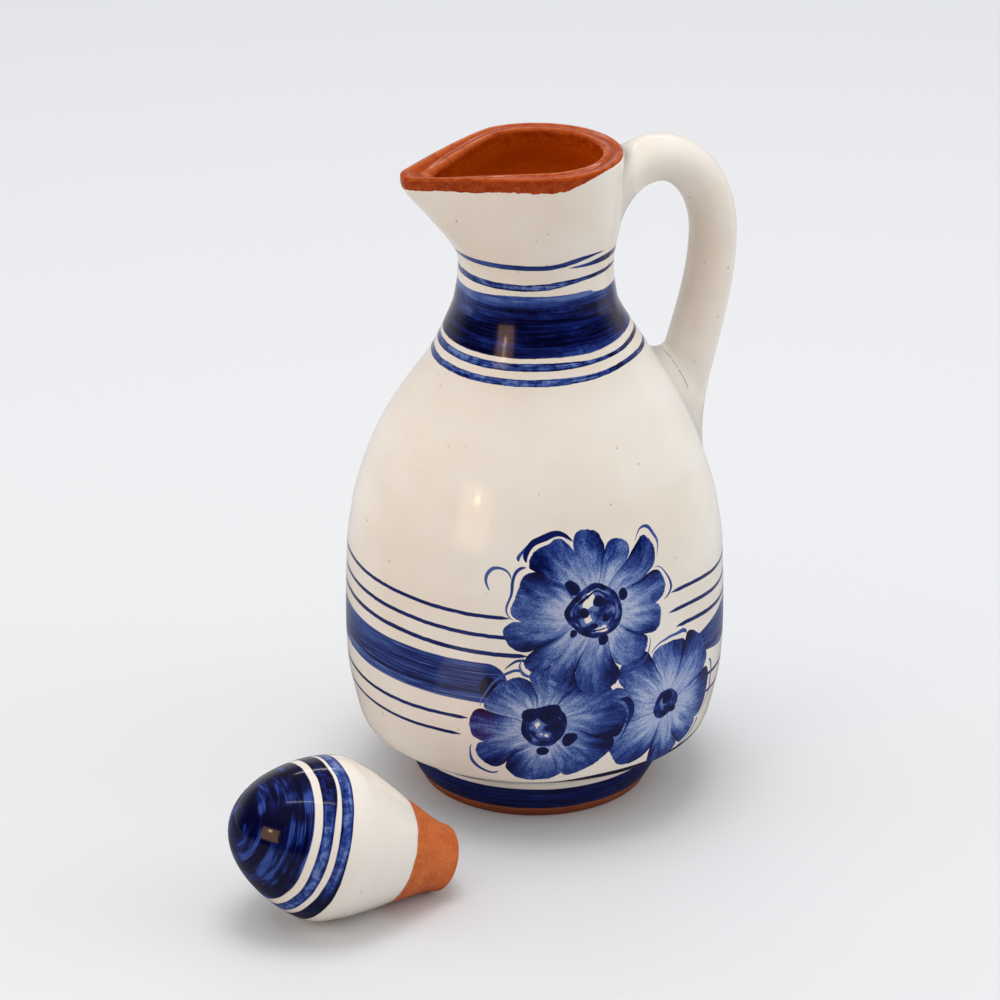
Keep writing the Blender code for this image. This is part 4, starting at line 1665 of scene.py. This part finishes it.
@dataclass
class Stopper:
    """The thrown bulb with a blue tip and a bare tapered plug, lying on the table."""

    bulb_radius: float = 24.6
    crown_length: float = 29.4
    crown_point: float = 1.43
    plug_length: float = 41.0
    plug_end_radius: float = 10.0
    plug_edge: float = 1.6
    vent_radius: float = 5.0
    vent_depth: float = 28.0
    vent_cone: float = 2.5
    vent_taper: float = 1.5
    place: tuple[float, float] = (-90.0, -67.0)
    heading: float = math.radians(4.6)
    sides: int = 160
    plug_rows: int = 50
    crown_rows: int = 60
    ripple: float = 0.1
    ripple_seed: float = 9.0
    plug_shape: Shape = ((0, 0), (0.38, 0.355), (0.62, 0.665), (0.83, 0.89), (1, 1))
    tip_blue: float = 15.4
    bands: tuple[tuple[float, float, float], ...] = ((17.6, 20.6, 0.3), (22.6, 25.8, 3.4))
    glaze_line: float = 51.6

    def profile(self) -> list[tuple[float, float]]:
        """Lay the section from the vent round the plug's end to the tip.

        Returns:
            The points.
        """
        plug = SmoothCurve([
            (self.plug_length * up, mix(self.plug_end_radius, self.bulb_radius, out))
            for up, out in self.plug_shape
        ])
        inner, cone = self.vent_radius - self.vent_taper, self.vent_depth - self.vent_cone
        points = [(0.0, self.vent_depth), (inner, cone)]
        points += [
            (mix(inner, self.vent_radius, s), mix(cone, 0, s)) for s in np.linspace(0.1, 0.95, 10)
        ]
        points += [(self.vent_radius + 0.1, 0.25), (self.vent_radius + 0.5, 0.0)]
        edge = self.plug_edge
        points += arc(float(plug(edge)) - edge, edge, edge, -1, 0)[:-1]
        points += [(float(plug(h)), h) for h in np.linspace(edge, self.plug_length, self.plug_rows)]
        for turn in np.linspace(0, math.pi / 2, self.crown_rows)[1:-1]:
            rise = (1 - math.cos(turn) ** 2) ** (1 / self.crown_point)
            height = self.plug_length + self.crown_length * rise
            points.append((self.bulb_radius * math.cos(turn), height))
        return points + [(0.0, self.plug_length + self.crown_length)]

    def lying(self, profile: list[tuple[float, float]]) -> Matrix:
        """Lay the stopper on its bulb and its plug's edge.

        Args:
            profile: The section in millimetres.

        Returns:
            The move from the upright stopper to its place on the table, in millimetres.
        """
        edge_radius, edge_height = max(point for point in profile if point[1] <= self.plug_edge)
        tilt = max(
            math.atan2(radius - edge_radius, height - edge_height)
            for radius, height in profile
            if height > self.plug_length / 2
        )
        spin = Matrix.Rotation(self.heading, 4, "Z")
        turned = spin @ Matrix.Rotation(-math.pi / 2 + tilt, 4, "Y")
        turned = turned @ Matrix.Translation((0, 0, -self.plug_length))
        down = turned.to_3x3().inverted() @ Vector((0, 0, 1))
        side = math.hypot(down.x, down.y)
        lowest = min(
            down.z * (height - self.plug_length) - side * radius for radius, height in profile
        )
        return Matrix.Translation((*self.place, -lowest)) @ turned

    def coat(self, laid: Matrix) -> bpy.types.Material:
        """Paint and glaze the stopper.

        Args:
            laid: The move from the upright stopper to its place on the table.

        Returns:
            The material.
        """
        bench = Coat.material("painted_stopper")
        cream, bare = Finish.CREAM.value, Finish.BARE.value
        inputs = {0: bench.place_mm(), "Location": laid.translation, "Rotation": laid.to_euler()}
        point = bench.add("Mapping", {"vector_type": "TEXTURE"}, inputs)
        right, front, height = bench.parts(point)
        from_tip = self.plug_length + self.crown_length - height
        brushwork = Brushwork(bench, point)
        self.paint(brushwork, from_tip, bench.maths("ARCTAN2", front, right))
        painted = brushwork.over(cream.lay(bench, point))
        line = self.glaze_line + (brushwork.grain(Grain(7, 7, 5)) - 0.5) * 2
        bared = from_tip.eased(line - 0.15, line + 0.15)
        bench.finish("Base Color", bench.blend(bared, painted, bare.lay(bench, point)))
        rough = (bare.roughness - cream.roughness) * bared + cream.roughness
        bench.finish("Roughness", rough)
        step = from_tip.eased(line + 0.3, line - 0.7) * 0.5
        grit = brushwork.grain(Grain(0.6, 0.6, 6, 3)) * bared * 0.35
        bench.bump(step + grit + brushwork.grain(Grain(7, 6, 4)) * 0.2)
        return bench.owner

    def paint(self, brushwork: Brushwork, from_tip: Wire, spin: Wire) -> None:
        """Paint the blue tip and the two bands, each laden on one side.

        Args:
            brushwork: What gathers the paint.
            from_tip: Distance along the axis from the tip.
            spin: Angle round the axis.
        """
        wander = brushwork.grain(Grain(16, 40, 2)) - 0.5
        streaks = brushwork.grain(Grain(18, 1.3, 4, 3, 0.6))
        brush = streaks * 0.75 + brushwork.grain(Grain(7, 0.35, 9, 2, 0.6)) * 0.25
        mottle = brushwork.grain(Grain(2.4, 2.4, 6, 3, 0.65)) - 0.5
        along = from_tip + wander * 1.4
        patch = brushwork.grain(Grain(9, 9, 3, 1)).eased(0.4, 0.62)
        ink = 1.14 - (brush - 0.4).most(0) * (patch * 2.4 + 1.0)
        dome = along.eased(self.tip_blue + 0.2, self.tip_blue - 0.2)
        brushwork.stroke(dome, ink.least(1).most(0.55))
        for low, high, laden in self.bands:
            heavy = brushwork.bench.maths("COSINE", spin - laden).eased(0.2, 0.75)
            half = (high - low) / 2 + heavy * 0.5
            off = along - (low + high) / 2
            edge = abs(off).eased(half * 0.5, half)
            ink = 0.6 + edge * 0.2 + heavy * 0.42 + mottle * 1.2 - (brush - 0.45) * 1.0
            brushwork.stroke((off - heavy * 0.4).within(half, 0.25), ink.least(1).most(0.35))

    def build(self, lathe: Lathe) -> bpy.types.Object:
        """Turn the bulb, lay it down and coat it.

        Args:
            lathe: The lathe.

        Returns:
            The finished piece.
        """
        profile = self.profile()
        laid = self.lying(profile)
        coat = self.coat(laid)
        ripple, seed = self.ripple, self.ripple_seed
        piece = lathe.turn("stopper_clay", profile, self.sides, ripple, seed, coat)
        piece.data.transform(Matrix.Scale(MM, 4) @ laid @ Matrix.Scale(1 / MM, 4))
        face_outwards(piece.data)
        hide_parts("stopper")
        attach(piece, "stopper")
        return piece


@dataclass(frozen=True)
class Lamp:
    """A soft lamp that faces the carafe, in degrees from the camera's side, metres and watts."""

    name: str
    turn: float
    rise: float
    distance: float
    size: tuple[float, float]
    power: float
    mirrored: bool = True
    colour: Colour = (255, 255, 255)
    aim: float = 0.1

    def hang(self, view_turn: float) -> None:
        """Hang the lamp.

        Args:
            view_turn: The camera's own turn round the carafe.
        """
        data = bpy.data.lights.new(self.name, "AREA")
        data.shape = "RECTANGLE"
        data.size, data.size_y = self.size
        data.energy = self.power
        data.color = linear(self.colour)[:3]
        lamp = link(self.name, data)
        angle, up = view_turn + math.radians(self.turn), math.radians(self.rise)
        towards = Vector((
            math.sin(angle) * math.cos(up), -math.cos(angle) * math.cos(up), math.sin(up),
        ))
        lamp.location = Vector((0, 0, self.aim)) + towards * self.distance
        lamp.rotation_euler = towards.to_track_quat("Z", "Y").to_euler()
        lamp.visible_glossy = self.mirrored


@dataclass
class Studio:
    """A pale table and backdrop, soft lamps and the camera."""

    view_turn: float = math.radians(-20.2)
    view_pitch: float = math.radians(23.995)
    view_yaw: float = math.radians(-0.521)
    stand_off: float = 1.1707
    stand_up: float = 0.6114
    lens: float = 151.2
    sensor: float = 36.0
    floor_size: float = 3.0
    floor_roughness: float = 0.9
    floor_colour: Colour = (217, 218, 220)
    # The table as reflections see it: painted shade, darker in front of the carafe.
    floor_near: Colour = (108, 108, 110)
    floor_far: Colour = (186, 187, 189)
    air: Colour = (225, 226, 228)
    low_air: Colour = (140, 138, 137)
    side_air: Colour = (230, 231, 233)
    upper_air: Colour = (232, 233, 235)
    far_room: Colour = (50, 50, 54)
    ceiling: Colour = (116, 112, 107)
    backdrop: Colour = (176, 176, 178)
    upper_backdrop: Colour = (116, 111, 106)
    lamps: tuple[Lamp, ...] = (
        Lamp("overhead", 175, 88, 1.5, (0.7, 0.7), 8.8, False),
        Lamp("left_softbox", -86, 15, 1.5, (1.0, 0.7), 3.0, False),
        Lamp("right_softbox", 86, 15, 1.5, (1.0, 0.7), 4.4, False),
        Lamp("warm_window", -39.5, 15, 1.6, (0.6, 0.56), 2.4, colour=(255, 196, 130)),
        Lamp("window_heart", -39.5, 21, 1.55, (0.06, 0.08), 0.28, colour=(255, 226, 170)),
        Lamp("top_strip", -8, 76, 1.4, (0.9, 0.03), 0.6),
        Lamp("back_strip", 178, 40, 1.4, (0.9, 0.04), 0.9),
    )

    def camera(self) -> None:
        """Put the camera where the picture was taken from."""
        data = bpy.data.cameras.new("view")
        data.lens = self.lens
        data.sensor_width = self.sensor
        camera = link("view", data)
        spin = Matrix.Rotation(self.view_turn, 4, "Z")
        ahead = Vector((
            math.sin(self.view_yaw) * math.cos(self.view_pitch),
            math.cos(self.view_yaw) * math.cos(self.view_pitch),
            -math.sin(self.view_pitch),
        ))
        look = (spin.to_3x3() @ ahead).to_track_quat("-Z", "Y").to_matrix().to_4x4()
        place = spin @ Vector((0, -self.stand_off, self.stand_up))
        camera.matrix_world = Matrix.Translation(place) @ look
        bpy.context.scene.camera = camera

    def behind(self, x: Wire, y: Wire) -> Wire:
        """Measure how far a place lies behind the carafe, as the camera sees it."""
        return y * math.cos(self.view_turn) - x * math.sin(self.view_turn)

    def table(self) -> None:
        """Lay the pale table, which keeps the carafe's shadow; in reflections it shows painted
        shade, darker in front.
        """
        mesh = bpy.data.meshes.new("table")
        half = self.floor_size / 2
        corners = [(-half, -half, 0), (half, -half, 0), (half, half, 0), (-half, half, 0)]
        mesh.from_pydata(corners, [], [(0, 1, 2, 3)])
        bench = Coat.material("table_white")
        mirrored = bench.add("LightPath", output="Is Glossy Ray")
        x, y, _ = bench.parts(bench.place_mm())
        # Painted shade: for reflections only, the table darkens towards the front.
        mirrored_floor_shade = bench.blend(self.behind(x, y).eased(20, 260), self.floor_near, self.floor_far)
        bench.finish("Base Color", bench.blend(mirrored, self.floor_colour, mirrored_floor_shade))
        bench.finish("Roughness", self.floor_roughness)
        mesh.materials.append(bench.owner)
        table = link("table", mesh)

    def surroundings(self) -> None:
        """Fill the room with pale light, and let the glaze mirror a darker room in front."""
        world = bpy.data.worlds.new("room")
        bpy.context.scene.world = world
        bench = Coat(world)
        seen = bench.add("LightPath", output="Is Camera Ray")
        mirrored = bench.add("LightPath", output="Is Glossy Ray")
        x, y, rise = bench.parts(bench.add("TexCoord", output="Generated"))
        behind = self.behind(x, y)
        low = bench.blend(behind.eased(-0.95, -0.2), self.low_air, self.side_air)
        lit = bench.blend(rise.eased(0.1, 0.6), low, self.upper_air)
        room = bench.blend(rise.eased(0.4, 0.95), self.far_room, self.ceiling)
        wall = bench.blend(rise.eased(0.12, 0.42), self.backdrop, self.upper_backdrop)
        room = bench.blend(behind.eased(0.05, 0.7), room, wall)
        unseen = bench.blend(mirrored, lit, room)
        bench.finish("Color", bench.blend(seen, unseen, self.air))
        bench.finish("Strength", 1.0)

    def build(self) -> None:
        """Set up the view, the table and the light."""
        self.camera()
        self.table()
        self.surroundings()
        for lamp in self.lamps:
            lamp.hang(self.view_turn)
        bpy.context.scene.view_settings.view_transform = "Standard"


def main() -> None:
    """Build the carafe, its stopper and the studio."""
    logging.basicConfig(level=logging.INFO, format="%(name)s: %(message)s")
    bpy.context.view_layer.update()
    lathe = Lathe()
    vessel = Vessel()
    body = vessel.build(lathe)
    skin = BVHTree.FromObject(body, bpy.context.evaluated_depsgraph_get())
    pieces = [body, Handle(vessel, skin).build(), Stopper().build(lathe)]
    for piece in pieces:
        log.info("%s: %d faces", piece.name, len(piece.data.polygons))
    Studio().build()


if __name__ == "__main__":
    main()
